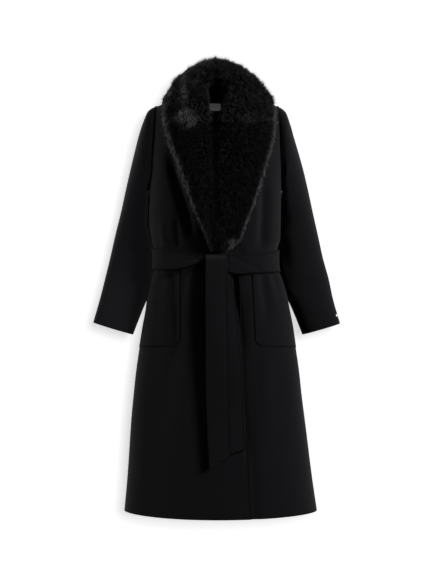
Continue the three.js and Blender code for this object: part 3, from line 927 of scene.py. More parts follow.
@dataclass
class Pockets:
    """Patch pockets laid on the fronts, each with one round inner corner."""

    bodice: Bodice
    top: float = -466.0
    bottom: float = -676.0
    side_bottom: float = -685.0
    corner: float = 22.0
    thick: float = 1.0
    lift: float = 0.4
    edges: dict[Side, tuple[float, float]] = field(
        default_factory=lambda: {Side.RIGHT: (-102.5, -102.0), Side.LEFT: (97.0, 105.0)}
    )

    def panel(self, side: Side) -> Panel:
        """Grid of a pocket from its inner edge to the side seam.

        The inner edge is straight, and in the last stretch above the bottom it follows a
        quarter circle.

        Args:
            side: which pocket.

        Returns:
            The pocket's grid.
        """
        across = np.linspace(0, 1, 56)[None, :] ** 1.15
        down = np.sin(np.linspace(0, 1, 60) * np.pi / 2)[:, None]
        level = mix(self.top, mix(self.bottom, self.side_bottom, across), down)
        top_x, bottom_x = self.edges[side]
        share = (level - self.top) / (self.bottom - self.top)
        above = np.clip((level - self.bottom) / self.corner, 0, 1)
        inset = self.corner * (1 - np.sqrt(1 - (1 - above) ** 2))
        inner = mix(top_x, bottom_x, share) + side.value * inset
        start = self.bodice.form.front_angle(inner, level)
        end = self.bodice.form.side_edge(side, Face.FRONT, level)
        theta = mix(start, mix(start, end, 0.985), across)
        points = self.bodice.front_point(side, theta, level)
        normals = grid_normals(points, False, -side.value)
        points = points + normals * (self.thick + self.lift)
        run, drop = spans(points, 1), spans(points, 0)
        edge = np.minimum(run, np.minimum(drop, drop[-1:] - drop))
        return Panel(points, normals, edge=edge)

    def build(self, wool: Materials) -> list[bpy.types.Object]:
        """Makes both pockets.

        Args:
            wool: materials of the cloth and of the painted shade along its edges.

        Returns:
            The two pieces.
        """
        made = []
        for side in Side:
            node, front = f"pocket_{side.word}", f"front_{side.word}_cloth"
            piece = cloth_shell(f"{node}_cloth", self.panel(side), self.thick, -side.value)
            dress(piece, wool, "wool", node)
            made.append(piece)
        return made


BELT_EDGES = Table(
    "turn top bottom",
    [
        (-180, -408, -472),
        (-90, -406, -468),
        (-48, -411, -468),
        (-28, -421, -464),
        (-17, -427, -456),
        (-9, -431, -449),
        (10, -428, -478),
        (29, -426, -478),
        (54, -419, -477),
        (90, -410, -475),
        (180, -408, -472),
    ],
)

FRONT_TAIL = Table(
    "level right left lift",
    [
        (-1005, -21, 38, 7),
        (-900, -27, 34, 8),
        (-760, -31, 31, 13),
        (-640, -31, 29, 19),
        (-560, -31, 28, 22),
        (-483, -31, 27, 21),
        (-426, -31, 26, 14.2),
    ],
)

BACK_TAIL = Table(
    "level right left lift",
    [
        (-970, 17, 77, 2),
        (-880, 13, 73, 3),
        (-760, 7, 67, 5),
        (-640, -2, 58, 6),
        (-560, -10, 49, 5),
        (-480.5, -22, 38, 3),
    ],
)


@dataclass
class Sash:
    """The belt: its run round the waist, the tied turn and two hanging tails.

    The belt's troughs are given by degrees round the waist, 0 in front and left positive,
    and by the share of its width from the bottom. Sixty degrees count as one share. A slant
    is how much higher the wearer's left corner of a tail's end lies.
    """

    form: CoatForm
    belt_turns: tuple[float, float] = (7.4, 354.0)
    turn_scale: float = 60.0
    knot_x: tuple[float, float] = (-27.0, 31.5)
    knot_level: tuple[float, float] = (-479.5, -429.5)
    knot_rise: float = 11.0
    knot_wall: float = 2.5
    belt_wall: float = 5.0
    belt_lift: float = 2.0
    tail_wall: float = 4.0
    front_slant: float = 33.0
    back_slant: float = 13.0
    belt_creases: tuple[Crease, ...] = (
        Crease(((-9, 0.55), (-20, 0.5), (-38, 0.42)), 0.09, 1.6, 0.1, 0.8),
        Crease(((-9, 0.8), (-18, 0.82), (-30, 0.8)), 0.08, 1.2, 0.1, 0.8),
        Crease(((10, 0.86), (20, 0.62), (32, 0.3), (38, 0.05)), 0.07, 2.2, 0.1, 0.3),
        Crease(((10, 0.9), (14, 0.84), (18, 0.82)), 0.06, 1.8, 0.1, 0.6),
        Crease(((60, 0.3), (66, 0.5), (70, 0.8)), 0.1, 1.2, 0.4, 0.4),
        Crease(((-130, 0.4), (-150, 0.5), (-170, 0.45)), 0.1, 1.4, 0.4, 0.4),
        Crease(((120, 0.6), (140, 0.5), (165, 0.55)), 0.1, 1.4, 0.4, 0.4),
    )

    def on_front(self, x: Array, level: Array, lift: Array) -> Array:
        """Points at a lift off the front, where it has the given x and level.

        Args:
            x: distance to the wearer's left.
            level: levels down the coat.
            lift: distance off the coat.

        Returns:
            The points.
        """
        theta = self.form.front_angle(x, level)
        return self.form.skin(theta, level) + self.form.normal(theta, level) * lift[..., None]

    def belt_panel(self) -> Panel:
        """Outer face of the belt from one side of the tied turn round to the other.

        Returns:
            The belt's grid.
        """
        turn = np.linspace(*self.belt_turns, 300)[None, :]
        share = np.linspace(0, 1, 22)[:, None]
        near = np.where(turn > 180, turn - 360, turn)
        edges = BELT_EDGES(near)
        level = mix(edges["bottom"], edges["top"], share)
        theta = np.radians(turn - 90) + 0 * share
        places = np.stack([(near + 0 * share) / self.turn_scale, share + 0 * near], axis=-1)
        creases = tuple(
            replace(crease, path=tuple((at / self.turn_scale, up) for at, up in crease.path))
            for crease in self.belt_creases
        )
        lift = self.belt_lift + self.belt_wall - relief(creases, places)
        points = self.form.skin(theta, level) + self.form.normal(theta, level) * lift[..., None]
        normals = grid_normals(points, False, 1)
        drop = spans(points, 0)
        return Panel(points, normals, edge=np.minimum(drop, drop[-1:] - drop))

    def tail_panel(self, rows: Table, slant: float, over: bool) -> Panel:
        """Outer face of a hanging tail, whose lower end is cut on a slant.

        A slow wave runs down the tail, and it is cupped a little across.

        Args:
            rows: the tail's edges and lift by level.
            slant: how much higher the wearer's left corner of the end lies.
            over: whether its top bends back over the belt.

        Returns:
            The tail's grid.
        """
        low, high = rows.rows[0, 0], rows.rows[-1, 0]
        share = np.linspace(0, 1, 28)[None, :]
        along = np.linspace(0, 1, 130)[:, None]
        sizes = rows(mix(low, high, along))
        x = mix(sizes["right"], sizes["left"], share)
        level = mix(low, high, along) + slant * share * np.clip(1 - along * 9, 0, 1)
        wave = 1.4 * np.sin(along * 9.0 + 1.0) * np.cos(share * 3.1) + 0 * x
        cup = -2.2 * (2 * share - 1) ** 2 * ease((along - 0.1) / 0.6)
        lift = sizes["lift"] + self.tail_wall + wave * ease((1 - along) * 4) + cup
        if over:
            top = ease((along - 0.965) / 0.035)
            lift = lift - 9 * top**2
        points = self.on_front(x, level, lift)
        normals = grid_normals(points, False, 1)
        run, drop = spans(points, 1), spans(points, 0)
        edge = np.minimum(np.minimum(run, run[:, -1:] - run), drop)
        return Panel(points, normals, edge=edge)

    def knot_panel(self) -> Panel:
        """Tied turn: a band over the belt, rounded across as a flattened tube.

        Returns:
            The turn's grid.
        """
        u = np.linspace(0, 1, 40)[None, :]
        v = np.linspace(0, 1, 34)[:, None]
        x = mix(*self.knot_x, u) + 0 * v
        level = mix(*self.knot_level, v) + 0 * u
        puff = np.sqrt(np.sin(np.pi * mix(0.04, 0.96, u)) * np.sin(np.pi * mix(0.12, 0.88, v)))
        lift = self.belt_lift + self.knot_rise * puff
        points = self.on_front(x, level, lift)
        return Panel(points, grid_normals(points, False, 1))

    def build(self, wool: Materials) -> list[bpy.types.Object]:
        """Makes the belt, the tied turn and both tails.

        Args:
            wool: materials of the cloth and of the painted shade along its edges.

        Returns:
            The four pieces.
        """
        over = self.tail_panel(FRONT_TAIL, self.front_slant, True)
        under = self.tail_panel(BACK_TAIL, self.back_slant, False)
        belt = cloth_shell("belt_cloth", self.belt_panel(), self.belt_wall)
        front = cloth_shell("belt_tail_front_cloth", over, self.tail_wall)
        back = cloth_shell("belt_tail_back_cloth", under, self.tail_wall)
        knot = cloth_shell("belt_knot_cloth", self.knot_panel(), self.knot_wall)
        for piece, node, flat, held in (
            (belt, "belt", (0.82, 0.062), "stretched"),
            (front, "belt_tail_front", (0.062, 0.585), "hung"),
            (back, "belt_tail_back", (0.062, 0.5), "hung"),
            (knot, "belt_knot", (0.06, 0.056), "folded"),
        ):
            dress(piece, wool, "wool", node)
        return [belt, front, back, knot]


COLLAR_ROWS = Table(
    "number over inner outRight outLeft outOver rise crest rim",
    [
        (0, 418, 1.2, 9, 30, 418, 8, 10, 7),
        (1, 404, 1.2, 19, 52, 404, 16, 22, 12),
        (2, 377, 1.2, 25, 72, 377, 20, 28, 15),
        (3, 350, 1.2, 39, 81, 350, 22, 30, 17),
        (4, 323, 1.2, 52, 90, 323, 23, 31, 18),
        (5, 290, 1.2, 66, 104, 290, 24, 32, 18),
        (6, 256, 1.2, 78, 116, 256, 24, 32, 18),
        (7, 220, 1.2, 92, 128, 220, 24, 33, 18),
        (8, 192, 1.2, 103, 137, 192, 25, 34, 18),
        (9, 168, 1.2, 119, 148, 168, 26, 36, 18),
        (10, 142, 1.2, 134, 159, 142, 29, 39, 18),
        (11, 110, 9, 143, 163, 110, 34, 46, 19),
        (12, 82, 21, 146, 164, 82, 36, 54, 19),
        (13, 54, 24, 147, 164, 54, 38, 66, 19),
        (14, 26, 24, 147, 162, 26, 42, 76, 20),
        (15, 0, 24, 146, 157, -4, 54, 83, 22),
        (16, -22, 23, 138, 146, -44, 60, 97, 24),
        (17, -38, 18, 114, 120, -84, 64, 116, 26),
        (18, -48, 10, 66, 68, -110, 66, 131, 26),
        (19, -52, 0, 0, 0, -118, 66, 137, 26),
    ],
)


NECK_HOLE = Table(
    "seen half",
    [
        (-42, 0),
        (-34, 2),
        (-29, 20),
        (-20, 24),
        (-6, 24),
        (8, 23),
        (24, 19),
        (42, 11),
        (56, 4),
        (66, 0),
        (80, 0),
    ],
)


@dataclass
class FurCollar:
    """Long fur shawl collar: a dark pelt with tapered strands gathered in tufts.

    Across a wing the pelt is a dome: with w from 0 at the inner edge to 1 at the outer one,
    the place across is (1 - cos pi w) / 2 and the height is sin(pi w)^0.4 of the fur's.
    Along its rims, on a few strokes over it and a little over the top, the fur lies flat and
    its tips are painted much paler, a painted highlight, more on the wearer's right rim than on the
    left.
    Line is the x where the wings meet, and lift and inset keep the pelt off the cloth and
    inside the strands. Curled and combed say how far a strand turns round its tuft and down
    the wing, lean how far it bends over, and gather how far its tip is drawn to its tuft's.
    """

    form: CoatForm
    line: float = -5.0
    lift: float = 2.0
    cut: float = 9.0
    inset: float = 5.5
    top_fill: float = 15.0
    strands: int = 60000
    pieces: int = 3
    length: float = 14.0
    thick: float = 0.9
    tuft: float = 7.0
    seed: int = 11
    curled: float = 0.5
    combed: float = 0.8
    lean: float = 0.62
    gather: float = 0.25
    # Places where the fur lies flat and its tips are painted paler: painted highlight streaks.
    strokes: tuple[Crease, ...] = (
        Crease(((-104, -12), (-84, -34), (-54, -60)), 17, 1.5, 0.2, 0.2),
        Crease(((-86, 104), (-90, 52), (-88, -12)), 9, 0.9, 0.15, 0.2),
        Crease(((-118, 58), (-136, 28), (-150, -6)), 16, 0.8, 0.3, 0.3),
        Crease(((-146, 12), (-150, -30), (-145, -84)), 12, 1.5, 0.2, 0.3),
        Crease(((-48, 118), (-66, 106), (-84, 88)), 12, 0.6, 0.3, 0.3),
        Crease(((66, 110), (86, 92), (100, 70)), 12, 0.5, 0.3, 0.3),
        Crease(((70, -22), (84, -40), (98, -60)), 16, 0.24, 0.3, 0.3),
        Crease(((-22, 54), (-24, 34), (-18, 16)), 6, 0.7, 0.3, 0.3),
        Crease(((-96, -190), (-88, -225), (-76, -262)), 12, 0.5, 0.3, 0.3),
        Crease(((32, -374), (46, -392), (36, -414)), 9, 1.4, 0.15, 0.15),
    )

    def place(self, side: Side, station: Array, v: Array) -> tuple[Array, ...]:
        """Angle, level and fur height at a share across a wing.

        Args:
            side: wing of the collar.
            station: place along the wing, 0 at the front tip and 19 at the centre back.
            v: share of the way across, from the inner edge to the outer one.

        Returns:
            The angle and level on the coat, the height of the fur, and how far it has gone
            over the shoulder.
        """
        row = COLLAR_ROWS(station)
        reach = row["outRight"] if side is Side.RIGHT else row["outLeft"]
        over = mix(row["over"], row["outOver"], v)
        slim = np.minimum(self.inset, 0.3 * reach)
        x = self.line + side.value * mix(row["inner"], reach - slim, v)
        level = -np.abs(over)
        angle = self.form.front_angle(x, level)
        near = mix(row["rise"], row["crest"], np.sin(np.clip(v / 0.2, 0, 1) * np.pi / 2))
        tall = np.where(v < 0.2, near, mix(row["crest"], row["rim"], (v - 0.2) / 0.8))
        return np.where(over >= 0, angle, -angle), level, tall, ease((70 - row["over"]) / 80)

    def dome(self, side: Side, station: Array, w: Array, cut: float) -> Array:
        """Points of the dome.

        Args:
            side: wing of the collar.
            station: place along the wing.
            w: share of the way round the section.
            cut: how far below the fur's full height the points lie.

        Returns:
            The points.
        """
        station, w = np.broadcast_arrays(station, w)
        v = (1 - np.cos(np.pi * w)) / 2
        theta, level, tall, lean = self.place(side, station, v)
        normal = self.form.normal(theta, level)
        base = self.form.skin(theta, level) + normal * self.lift
        normal[..., 2] += 1.6 * lean * (1 - 0.7 * v)
        height = np.maximum(tall - cut, 0.35 * tall) * np.sin(np.pi * w) ** 0.4
        return self.opened(base + unit(normal) * height[..., None])

    def opened(self, points: Array) -> Array:
        """Shapes the front of the neck hole, and fills the dip over the middle.

        Heights are read as seen from the front. Above the hole the two wings run into each
        other: points move to the middle and a little past it, less with their distance.
        Beside the hole they are kept out of it by the soft greater of their distance and its
        half width. The top rises with a bell.

        Args:
            points: points of the fur.

        Returns:
            The points, moved.
        """
        x, y, z = np.moveaxis(points, -1, 0)
        off, seen = np.abs(x - self.line), seen_height(y, z)
        over = ease((seen - 46) / 20) * ease((56 - y) / 20)
        past = np.maximum(off - 25, 0) / 40
        drawn = np.maximum(off - 40 * over * np.exp(-(past**2)), -12)
        half = NECK_HOLE(seen)["half"] * ease((8 - y) / 24)
        clear = (drawn + half + np.hypot(drawn - half, 2.0)) / 2
        clear = np.where(half > 0.1, clear, drawn)
        raised = z + self.top_fill * np.exp(-((off / 70) ** 2)) * ease((z - 60) / 60)
        raised += 5 * np.exp(-((off / 18) ** 2)) * ease((z - 84) / 36)
        return np.stack([self.line + np.where(x < self.line, -clear, clear), y, raised], axis=-1)

    def wing_grid(self, cut: float, stations: int, around: int) -> Array:
        """Outer face of the whole collar, from the right tip over the neck to the left tip.

        Args:
            cut: how far below the fur's full height the points lie.
            stations: number of sections along a wing.
            around: number of points round a section.

        Returns:
            The grid of points.
        """
        station = np.linspace(0, 19, stations)[:, None]
        w = np.linspace(0, 1, around)[None, :]
        right = self.dome(Side.RIGHT, station, w, cut)
        left = self.dome(Side.LEFT, station[:-1], w, cut)
        return np.concatenate([right, left[::-1]])

    def underside(self, side: Side, station: Array, w: Array) -> Array:
        """Points of the pelt's flat side, which lies on the coat.

        Args:
            side: wing of the collar.
            station: place along the wing.
            w: share of the way across.

        Returns:
            The points.
        """
        v = (1 - np.cos(np.pi * w)) / 2
        theta, level, _, _ = self.place(side, station, v)
        return self.form.skin(theta, level) + self.form.normal(theta, level) * self.lift

    def pelt(self) -> bpy.types.Object:
        """The closed dark pelt under the strands, with its flat underside and end caps.

        Returns:
            The new object.
        """
        top = self.wing_grid(self.cut, 110, 26)
        under_w = np.linspace(1, 0, 12)[None, 1:-1]
        station = np.linspace(0, 19, 110)[:, None]
        flat = [self.underside(side, station, under_w) for side in Side]
        bottom = np.concatenate([flat[0], flat[1][:-1][::-1]])
        rings = np.concatenate([top, bottom], axis=1)
        count, size = rings.shape[:2]
        ids = np.arange(count * size).reshape(count, size)
        ids = np.concatenate([ids, ids[:, :1]], axis=1)
        ends = np.stack([rings[0].mean(axis=0), rings[-1].mean(axis=0)])
        points = np.concatenate([rings.reshape(-1, 3), ends])
        first = np.stack([ids[0][1:], ids[0][:-1], np.full(size, count * size)], axis=-1)
        last = np.stack([ids[-1][:-1], ids[-1][1:], np.full(size, count * size + 1)], axis=-1)
        return make_object("fur_pelt", points, [quads(ids), np.concatenate([first, last])])

    def roots(self, rng: np.random.Generator) -> dict[str, Array]:
        """Places of the strands, spread evenly by area over the dome.

        Cells of a fine grid are drawn in proportion to their area, and a root lies at a
        random spot of its cell.

        Args:
            rng: the source of the spread.

        Returns:
            Points, normals, the directions across and down, w and station. Down fades to
            nothing at the centre back, where the two wings meet.
        """
        top = self.wing_grid(self.cut, 220, 60)
        across, along = np.gradient(top, axis=1), np.gradient(top, axis=0)
        area = np.linalg.norm(np.cross(across, along), axis=-1)
        rows, columns = area.shape
        chance = area[:-1, :-1].ravel()
        cell = rng.choice(len(chance), self.strands, p=chance / chance.sum())
        j, i = np.divmod(cell, columns - 1)
        fj, fi = rng.random(self.strands), rng.random(self.strands)

        def read(grid: Array) -> Array:
            """A grid's value at each root, between its four corners."""
            low = mix(grid[j, i], grid[j, i + 1], fi[:, None])
            high = mix(grid[j + 1, i], grid[j + 1, i + 1], fi[:, None])
            return mix(low, high, fj[:, None])

        run = (j + fj) / ((rows - 1) / 2) - 1
        return {
            "points": read(top),
            "normals": unit(read(np.cross(along, across))),
            "across": unit(read(across)),
            "down": unit(read(along)) * np.clip(run * 4, -1, 1)[:, None],
            "w": ((i + fi) / (columns - 1))[:, None],
            "station": (19 * (1 - np.abs(run)))[:, None],
        }

    def tufts(self, spots: Array) -> tuple[Array, Array]:
        """Gathers roots into tufts by the nearest of a jittered lattice of centres.

        Args:
            spots: the roots' places in space.

        Returns:
            The centre of each root's tuft, and three scattered numbers for each tuft.
        """
        cells = np.floor(spots / self.tuft).astype(int)
        best = np.full(len(spots), np.inf)
        centre, mood = np.zeros_like(spots), np.zeros_like(spots)
        for shift in np.ndindex(3, 3, 3):
            cell = cells + np.array(shift) - 1
            code = (cell[:, 0] * 73856093) ^ (cell[:, 1] * 19349663) ^ (cell[:, 2] * 83492791)
            keys = np.stack([(code * k) % 65521 for k in (3, 7, 11)], axis=-1)
            jitter = keys / 65521.0
            here = (cell + 0.15 + 0.7 * jitter) * self.tuft
            gap = np.linalg.norm(here - spots, axis=-1)
            nearer = gap < best
            best[nearer] = gap[nearer]
            centre[nearer] = here[nearer]
            mood[nearer] = (keys[nearer] * 31 % 997) / 997.0
        return centre, mood

    def brushed(self, root: dict[str, Array], mood: Array) -> Array:
        """Share to which the fur lies flat and its tips are painted paler, a painted highlight:
        along the rims, more on the wearer's right, on the strokes and a little over the top.

        Args:
            root: the roots' places and shares.
            mood: the scattered numbers of each root's tuft.

        Returns:
            The share of each strand.
        """
        x, y, z = root["points"].T
        spots = np.stack([x, seen_height(y, z)], axis=-1)
        front = ease((70 - y) / 60)
        stroke = relief(self.strokes, spots) * front
        upper = 0.08 * ease((spots[:, 1] + 58) / 12)
        # Rims lie flat and are painted paler, more on the wearer's right: a painted highlight.
        rim = ease((root["w"][:, 0] - np.where(x < self.line, 0.73, 0.8)) / 0.1)
        share = np.maximum(rim * np.where(x < self.line, 0.62, 0.45), stroke) + upper
        return np.clip(share * (0.55 + 0.9 * mood[:, 1]), 0, 1)[:, None]

    def strand_mesh(
        self, name: str, line: Array, wide: Array, across: Array, shine: Array
    ) -> bpy.types.Object:
        """Joined three-sided strands along curves of four points, each ending in a point.

        Args:
            name: name of the piece.
            line: strands by 4 by 3, from root to tip.
            wide: width of each strand.
            across: a direction across each strand.
            shine: how much each strand lies flat, and how far its tip is painted paler, a painted
                highlight.

        Returns:
            The new object.
        """
        count = len(line)
        way = unit(np.gradient(line, axis=1))
        side = unit(np.cross(way, across[:, None, :]))
        other = np.cross(way, side)
        taper = np.array([0.8, 1.0, 0.62])[None, :, None, None]
        turn = np.arange(3) * 2 * np.pi / 3
        ring = (
            side[:, :3, None, :] * np.cos(turn)[None, None, :, None]
            + other[:, :3, None, :] * np.sin(turn)[None, None, :, None]
        )
        rings = line[:, :3, None, :] + ring * taper * wide[:, None, None, None] / 2
        points = np.concatenate([rings.reshape(count, 9, 3), line[:, 3:4]], axis=1)
        k = np.arange(6)
        ahead = k - k % 3 + (k + 1) % 3
        quad = np.stack([k, ahead, ahead + 3, k + 3], axis=-1)
        tri = np.array([(6, 7, 9), (7, 8, 9), (8, 6, 9), (2, 1, 0)])
        offset = (np.arange(count) * 10)[:, None, None]
        faces = [(quad[None] + offset).reshape(-1, 4), (tri[None] + offset).reshape(-1, 3)]
        share = np.tile(np.array([0, 0, 0, 0.4, 0.4, 0.4, 0.75, 0.75, 0.75, 1.0]), count)
        # The fur's material makes the tip paler by the brushed share: a painted highlight.
        values = {"along": share, "brushed": np.repeat(shine, 10)}
        return make_object(name, points.reshape(-1, 3), faces, values, None)

    def build(self, pelt: Materials, hair: Materials) -> list[bpy.types.Object]:
        """Makes the pelt and the strands.

        A strand starts along its normal and bends towards the way it lies. Brushed fur lies
        down the wing, the rest is combed down and curls round a little by tuft, and each tip
        is drawn part of the way to its tuft's own tip.

        Args:
            pelt: material of the pelt.
            hair: material of the strands.

        Returns:
            The pelt and the pieces of strands.
        """
        rng = np.random.default_rng(self.seed)
        root = self.roots(rng)
        centre, mood = self.tufts(root["points"])
        shine = self.brushed(root, mood)
        curl = mood[:, :1] * 2 * np.pi
        round_tuft = root["down"] * np.cos(curl) + root["across"] * np.sin(curl)
        brushed_way = root["down"] + 0.5 * (mood[:, 2:] - 0.5) * root["across"]
        lie = mix(self.curled * round_tuft + self.combed * root["down"], brushed_way, shine)
        lie = unit(lie + rng.normal(0, 0.25, lie.shape) * (1 - 0.6 * shine))
        hole = ease((0.26 - root["w"]) / 0.16) * ease((root["station"] - 8.0) / 3.0)
        flat = np.clip(self.lean + 0.35 * shine + (mood[:, 1:2] - 0.5) * 0.2, 0.1, 0.97)
        long = self.length * (0.8 + 0.4 * rng.random((self.strands, 1)))
        long = long * (0.8 + 0.4 * mood[:, 2:]) * np.clip(0.5 + root["station"] / 4.0, 0.5, 1.0)
        long = long * (1 - 0.25 * shine) * (1 - 0.25 * hole)
        stand = np.sqrt(1 - flat**2)
        reach = root["normals"] * stand + lie * flat
        drawn = self.gather * (1 - hole)
        tip = mix(root["points"], centre, drawn) + long * reach
        bend = root["points"] + long * (root["normals"] * 0.5 + lie * 0.08)
        t = np.array([0, 0.38, 0.72, 1.0])[None, :, None]
        line = (
            root["points"][:, None] * (1 - t) ** 2
            + 2 * bend[:, None] * t * (1 - t)
            + tip[:, None] * t**2
        )
        wide = self.thick * (0.7 + 0.6 * rng.random(self.strands))
        under = self.pelt()
        dress(under, pelt, "fur", "fur_collar")
        made = [under]
        for number, picked in enumerate(np.array_split(np.arange(self.strands), self.pieces), 1):
            piece = self.strand_mesh(
                f"fur_strands_{number}",
                line[picked],
                wide[picked],
                root["across"][picked],
                shine[picked, 0],
            )
            dress(piece, hair, "fur")
            made.append(piece)
        return made


class Shader:
    """A small hand for building node trees."""

    def __init__(self, tree: bpy.types.NodeTree) -> None:
        """Keeps the tree."""
        self.tree = tree

    def add(
        self, kind: str, inputs: dict[str | int, object] | None = None, **settings: object
    ) -> bpy.types.Node:
        """Adds a node.

        Args:
            kind: type of the node.
            inputs: values for its sockets, or other sockets to link from.
            settings: properties of the node.

        Returns:
            The new node.
        """
        node = self.tree.nodes.new(kind)
        for key, value in settings.items():
            setattr(node, key, value)
        for key, value in (inputs or {}).items():
            if isinstance(value, bpy.types.NodeSocket):
                self.tree.links.new(value, node.inputs[key])
            else:
                node.inputs[key].default_value = value
        return node

    def surface(self, out: bpy.types.Node, inputs: dict[str, object]) -> None:
        """Adds the principled surface and joins it to the material's output.

        Args:
            out: the output node.
            inputs: values for its sockets, or other sockets to link from.
        """
        node = self.add("ShaderNodeBsdfPrincipled", inputs)
        self.tree.links.new(node.outputs[0], out.inputs[0])

    def math(self, operation: str, *values: object) -> bpy.types.NodeSocket:
        """Result of a math node on numbers or sockets."""
        return self.add("ShaderNodeMath", dict(enumerate(values)), operation=operation).outputs[0]


def new_material(name: str) -> tuple[bpy.types.Material, Shader, bpy.types.Node]:
    """An empty node material.

    Args:
        name: name of the material.

    Returns:
        The material, the hand on its tree, and its output node.
    """
    material = bpy.data.materials.new(name)
    material.use_nodes = True
    material.node_tree.nodes.clear()
    shader = Shader(material.node_tree)
    return material, shader, shader.add("ShaderNodeOutputMaterial")


def new_group(
    name: str, ins: dict[str, str], outs: dict[str, str]
) -> tuple[bpy.types.NodeTree, Shader, bpy.types.Node, bpy.types.Node]:
    """An empty shader group with typed sockets.

    Args:
        name: name of the group.
        ins: kinds of its inputs by name.
        outs: kinds of its outputs by name.

    Returns:
        The group, the hand on its tree, and its input and output nodes.
    """
    tree = bpy.data.node_groups.new(name, "ShaderNodeTree")
    for socket, kind in ins.items():
        tree.interface.new_socket(socket, in_out="INPUT", socket_type=kind)
    for socket, kind in outs.items():
        tree.interface.new_socket(socket, in_out="OUTPUT", socket_type=kind)
    shader = Shader(tree)
    return tree, shader, shader.add("NodeGroupInput"), shader.add("NodeGroupOutput")


def nap_group() -> bpy.types.NodeTree:
    """Brushed nap: fine fibres over small flecks, and a slow change of tone.

    Shade is a factor near 1 for the colour, and Height is the raised fibre in 0 to 1.

    Returns:
        The group.
    """
    tree, shader, start, end = new_group(
        "brushed_nap",
        {"Place": "NodeSocketVector", "Fibre": "NodeSocketFloat", "Mottle": "NodeSocketFloat"},
        {"Shade": "NodeSocketFloat", "Height": "NodeSocketFloat"},
    )
    place = start.outputs["Place"]
    comb = shader.add("ShaderNodeMapping", {"Vector": place, "Scale": (1.0, 1.0, 0.45)})
    combed = comb.outputs[0]
    fine = shader.add(
        "ShaderNodeTexNoise", {"Vector": combed, "Scale": 900.0, "Detail": 3.0, "Roughness": 0.6}
    )
    fleck = shader.add(
        "ShaderNodeTexNoise", {"Vector": combed, "Scale": 210.0, "Detail": 2.0, "Roughness": 0.55}
    )
    slow = shader.add("ShaderNodeTexNoise", {"Vector": place, "Scale": 14.0, "Detail": 2.0})
    height = shader.math("MULTIPLY", shader.math("ADD", fine.outputs[0], fleck.outputs[0]), 0.5)
    centred = shader.math("SUBTRACT", height, 0.5)
    fibre = shader.math("MULTIPLY_ADD", centred, start.outputs["Fibre"], 1.0)
    drift = shader.math("SUBTRACT", slow.outputs[0], 0.5)
    shade = shader.math("MULTIPLY_ADD", drift, start.outputs["Mottle"], fibre)
    shader.tree.links.new(shade, end.inputs["Shade"])
    shader.tree.links.new(height, end.inputs["Height"])
    return tree


def edge_group() -> bpy.types.NodeTree:
    """Finished edge: a sunk line at a set distance from the edge, and its mask.

    The line is 1 at the distance and falls off on both sides over its width.

    Returns:
        The group.
    """
    tree, shader, start, end = new_group(
        "edge_line",
        {"Edge": "NodeSocketFloat", "Distance": "NodeSocketFloat", "Width": "NodeSocketFloat"},
        {"Line": "NodeSocketFloat"},
    )
    gap = shader.math("SUBTRACT", start.outputs["Edge"], start.outputs["Distance"])
    far = shader.math("ABSOLUTE", gap)
    line = shader.add(
        "ShaderNodeMapRange",
        {0: far, 1: 0.0, 2: start.outputs["Width"], 3: 1.0, 4: 0.0},
        interpolation_type="SMOOTHSTEP",
    )
    shader.tree.links.new(line.outputs[0], end.inputs["Line"])
    return tree


@dataclass(frozen=True)
class WoolFinish:
    """Matt black double-faced wool with a brushed nap and a line along its edges."""

    name: str
    colour: tuple[float, float, float] = (0.0040, 0.0040, 0.0052)
    line_at: float = 6.5
    line_width: float = 2.2
    line_dark: float = 0.25
    line_deep: float = 1.2
    sheen: float = 0.075

    def build(self, nap: bpy.types.NodeTree, edge: bpy.types.NodeTree) -> bpy.types.Material:
        """Makes the material from the shared groups.

        Args:
            nap: the brushed nap.
            edge: the line along the edges.

        Returns:
            The material.
        """
        material, shader, out = new_material(self.name)
        place = shader.add("ShaderNodeTexCoord").outputs["Object"]
        fibres = shader.add(
            "ShaderNodeGroup", {"Place": place, "Fibre": 0.5, "Mottle": 0.18}, node_tree=nap
        )
        distance = shader.add(
            "ShaderNodeAttribute", attribute_name="edge", attribute_type="GEOMETRY"
        )
        line = shader.add(
            "ShaderNodeGroup",
            {"Edge": distance.outputs["Fac"], "Distance": self.line_at, "Width": self.line_width},
            node_tree=edge,
        ).outputs["Line"]
        dark = shader.math("MULTIPLY_ADD", line, -self.line_dark, 1.0)
        shade = shader.math("MULTIPLY", fibres.outputs["Shade"], dark)
        tint = shader.add("ShaderNodeMix", {"Factor": 1.0}, data_type="RGBA", blend_type="MULTIPLY")
        base, factor = (socket for socket in tint.inputs if socket.type == "RGBA")
        base.default_value = (*self.colour, 1.0)
        shader.tree.links.new(shade, factor)
        sunk = shader.math("MULTIPLY_ADD", line, -self.line_deep, fibres.outputs["Height"])
        bump = shader.add("ShaderNodeBump", {"Height": sunk, "Strength": 0.35, "Distance": 0.0008})
        shader.surface(
            out,
            {
                "Base Color": next(socket for socket in tint.outputs if socket.type == "RGBA"),
                "Roughness": 0.92,
                "Specular IOR Level": 0.02,
                "Sheen Weight": self.sheen,
                "Sheen Roughness": 0.6,
                "Normal": bump.outputs[0],
            },
        )
        return material


